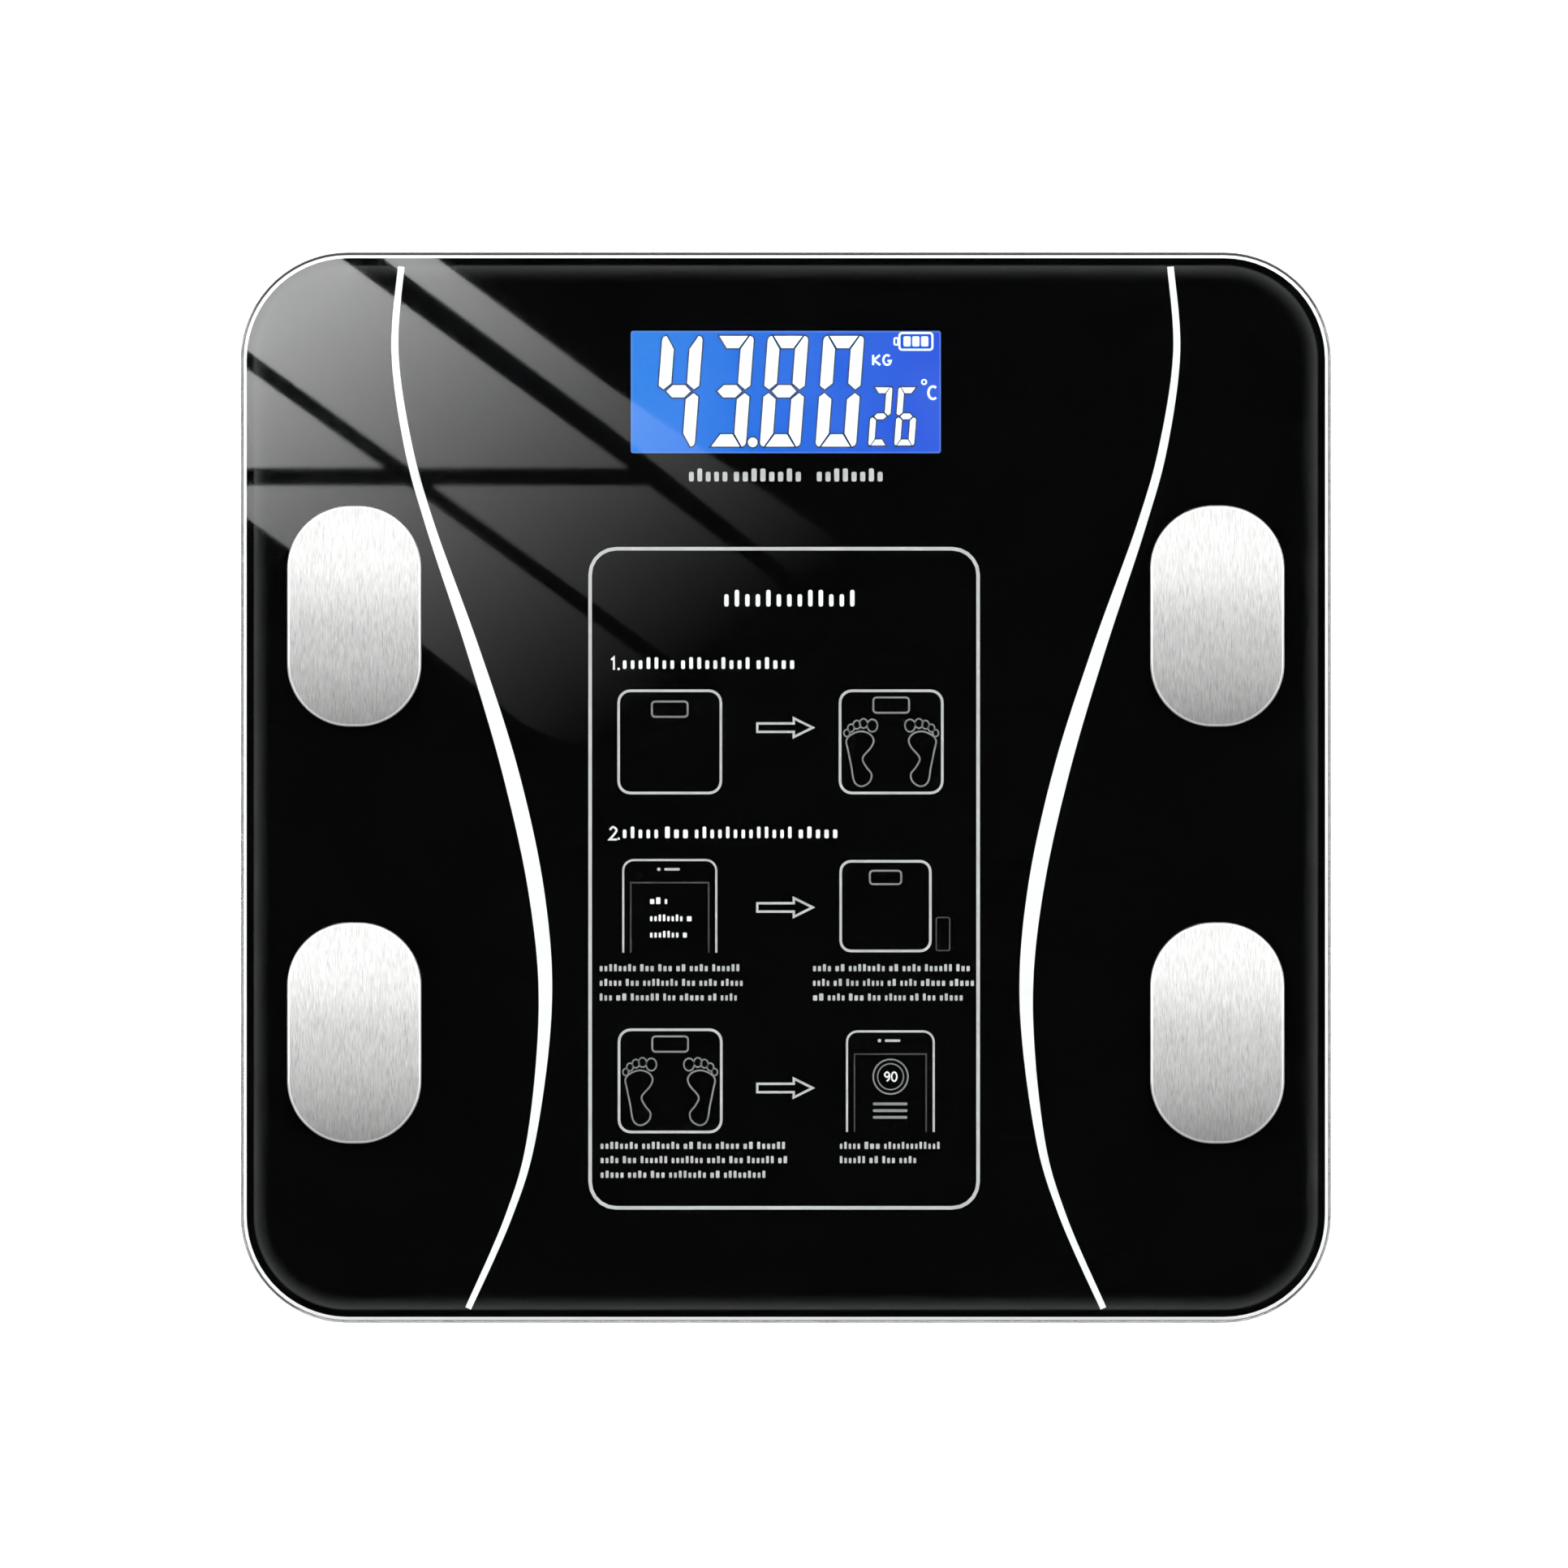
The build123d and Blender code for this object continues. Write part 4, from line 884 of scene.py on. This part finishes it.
def draw_symbols(bm):
    """Charge symbol and the two unit marks."""
    levels = SHAPE_MID, SHAPE_HIGH
    add_line(bm, rounded(27.1, 35.0, 104.5, 108.5, 0.7), BATTERY_LINE, *levels, closed=True)
    add_line(bm, rounded(25.9, 26.8, 105.7, 107.3, 0.3), BATTERY_CAP_LINE, *levels, closed=True)
    for x in (28.1, 30.2, 32.3):
        add_plate(bm, rounded(x, x + 1.7, 105.3, 107.7, 0.35), *levels)
    for mark, x in (("K", 20.75), ("K2", 20.75), ("G", 23.18)):
        stroke_mark(bm, mark, x, 100.85, 2.0, 2.4, WEIGHT_UNIT_LINE, *levels)
    add_line(bm, ring(33.0, 96.8, 0.55, steps=12), DEGREE_LINE, *levels, closed=True)
    stroke_mark(bm, "C", 33.9, 92.7, 2.5, 3.1, HEAT_UNIT_LINE, *levels)


def display_pieces():
    piece("display_digits", draw_digits, "lit_segment")
    piece("display_digit_edges", draw_digit_edges, "segment_edge")
    piece("display_symbols", draw_symbols, "lit_segment")


# ---- Studio ----
CAMERA_HEIGHT = 4.0     # above the platform
VIEW_SPAN = 0.3739      # of the platform's plane across the image
AIM = (-0.43, 0.85)     # the point that the camera looks at, in millimetres
CARD_HEIGHT = 4.4       # above the platform, just over the camera
CARD_HALF = 0.31
CARD_BACK = 0.01        # the dark card lies this far behind the lit panes
MIRROR = 1 + CARD_HEIGHT / CAMERA_HEIGHT    # how much further out the card's mirrored point lies
PANE_GLOW = 4.95        # the panes' strength where they are brightest
PANE_FADE = 3.2         # how fast they fade towards the lower right
PANE_FLOOR = 0.08       # taken off the strength, so that the faded end is black
PANES = [    # window panes as they are mirrored on the glass, in millimetres
    [(-150, 158.0), (-150, 119.5), (-89.5, 75.8), (-37.3, 75.8)],
    [(-150, 115.0), (-150, 75.8), (-95.5, 75.8)],
    [(-84.2, 71.6), (-8.0, 16.5), (12.0, 38.0), (-32.5, 71.6)],
    [(-139.1, 71.6), (-86.7, 33.9), (-62.0, 14.6), (-40.0, 5.0), (-14.0, 16.0), (-90.0, 71.6)],
    [
        (-130.0, 151.2), (-110.0, 145.0), (-83.4, 126.1), (-42.2, 95.5), (25.0, 50.0), (10.0, 44.0),
        (-42.2, 86.0),
    ],
]


def emitter(name, colour, strength):
    made = bpy.data.materials.new(name)
    made.use_nodes = True
    tree = made.node_tree
    tree.nodes.clear()
    glow = add(tree, "ShaderNodeEmission", {"Color": colour, "Strength": strength})
    out = add(tree, "ShaderNodeOutputMaterial")
    tree.links.new(glow.outputs[0], out.inputs[0])
    return made, tree, glow


def flat_stage(name, outlines, height, finish):
    """Flat faces at one height that belong to the studio; their outlines are in metres."""
    bm = bmesh.new()
    for shape in outlines:
        bm.faces.new([bm.verts.new((x, y, height)) for x, y in shape])
    mesh = bpy.data.meshes.new(name)
    bm.to_mesh(mesh)
    bm.free()
    made = bpy.data.objects.new(name, mesh)
    made.data.materials.append(finish)
    bpy.context.scene.collection.objects.link(made)


def square(half):
    return [(-half, -half), (half, -half), (half, half), (-half, half)]


FLOOR_Z = -0.0001    # just clear of the feet
FLOOR_HALF = 9.0
FLOOR_GLOW = 0.60    # the floor is a lit table, so it shows only the softest shadow


def floor_material():
    made, tree, shader = material("floor")
    cloud = noise(tree, 0.6, detail=2.0)
    tone = mix(tree, spread(tree, cloud, 0.0, 1.0), (0.60, 0.60, 0.60, 1), (0.62, 0.62, 0.62, 1))
    set_shader(
        tree, shader, Base_Color=tone, Roughness=spread(tree, cloud, 0.6, 0.7), Emission_Color=(1, 1, 1, 1),
        Emission_Strength=FLOOR_GLOW,
    )
    return made


def window_card():
    """A dark card over the camera with a lit window on it, which the glass mirrors."""
    dark, _, _ = emitter("card_dark", (0.002, 0.002, 0.0025, 1), 1.0)
    flat_stage("card", [square(CARD_HALF)], PLATE_TOP + CARD_HEIGHT + CARD_BACK, dark)
    bright, tree, glow = emitter("window_light", (1, 1, 1, 1), 1.0)
    x, y, _ = coordinates(tree)
    slope = maths(tree, "SUBTRACT", maths(tree, "MULTIPLY", x, 0.75), y)
    fade = spread(tree, slope, 1.0, 0.0, -0.42, 0.03)
    strength = maths(tree, "MULTIPLY", maths(tree, "POWER", fade, PANE_FADE), PANE_GLOW)
    strength = maths(tree, "MAXIMUM", maths(tree, "SUBTRACT", strength, PANE_FLOOR), 0.0)
    tree.links.new(strength, glow.inputs["Strength"])
    shapes = [[(MIRROR * x * MM, MIRROR * y * MM) for x, y in pane] for pane in PANES]
    flat_stage("window_panes", shapes, PLATE_TOP + CARD_HEIGHT, bright)


# The studio's surroundings. How steep a direction is, from 0 to 1, bounds the ceiling and the strip.
DIM = 0.17                                # strength of the walls
CEILING_START, CEILING_FULL = 0.70, 0.86  # where the ceiling's light sets in and is full
CEILING_GLOW = 2.65                       # strength of the ceiling beyond the display
STRIP_GLOW = 1.3                          # strength of the lit strip low down
STRIP_FULL, STRIP_END = 0.06, 0.16        # where it is full and where it ends


def sky():
    """A big soft light overhead, stronger beyond the display, over dim walls with a lit strip low down."""
    world = bpy.data.worlds.new("studio")
    world.use_nodes = True
    tree = world.node_tree
    tree.nodes.clear()
    direction = add(tree, "ShaderNodeTexCoord").outputs["Generated"]
    x, y, z = add(tree, "ShaderNodeSeparateXYZ", {"Vector": direction}).outputs
    beyond = maths(tree, "SUBTRACT", y, maths(tree, "MULTIPLY", x, 0.3))
    overhead = spread(tree, beyond, 0.0, CEILING_GLOW, -0.58, 0.32)
    ceiling = spread(tree, z, 0.0, 1.0, CEILING_START, CEILING_FULL)
    strip = spread(tree, z, STRIP_GLOW, 0.0, STRIP_FULL, STRIP_END)
    strength = maths(tree, "ADD", maths(tree, "MULTIPLY", overhead, ceiling), maths(tree, "ADD", strip, DIM))
    glow = add(tree, "ShaderNodeBackground", {"Color": (1, 1, 1, 1), "Strength": strength})
    out = add(tree, "ShaderNodeOutputWorld")
    tree.links.new(glow.outputs[0], out.inputs[0])
    bpy.context.scene.world = world


LIGHT_OUT, LIGHT_UP = 1.3, 3.0
LIGHT_SIZE = 1.2
LIGHT_POWER = 35.0    # watts


def soft_light(name, location):
    """A round light aimed at the object, and hidden from the glass, which would mirror it as a white disc."""
    data = bpy.data.lights.new(name, "AREA")
    data.shape = "DISK"
    data.size = LIGHT_SIZE
    data.energy = LIGHT_POWER
    made = bpy.data.objects.new(name, data)
    made.location = location
    made.rotation_euler = (-Vector(location)).to_track_quat("-Z", "Y").to_euler()
    made.visible_glossy = False
    bpy.context.scene.collection.objects.link(made)


SENSOR_WIDTH = 36.0    # millimetres


def camera():
    data = bpy.data.cameras.new("camera")
    data.sensor_width = SENSOR_WIDTH
    data.lens = data.sensor_width * CAMERA_HEIGHT / VIEW_SPAN
    made = bpy.data.objects.new("camera", data)
    made.location = (AIM[0] * MM, AIM[1] * MM, PLATE_TOP + CAMERA_HEIGHT)
    bpy.context.scene.collection.objects.link(made)
    bpy.context.scene.camera = made


def studio():
    flat_stage("floor", [square(FLOOR_HALF)], FLOOR_Z, floor_material())
    window_card()
    sky()
    soft_light("beyond", (0.0, LIGHT_OUT, LIGHT_UP))
    soft_light("left", (-LIGHT_OUT, 0.0, LIGHT_UP))
    soft_light("right", (LIGHT_OUT, 0.0, LIGHT_UP))
    camera()
    bpy.context.scene.view_settings.view_transform = "Standard"


dress_cad_parts()
print_pieces()
display_pieces()
studio()
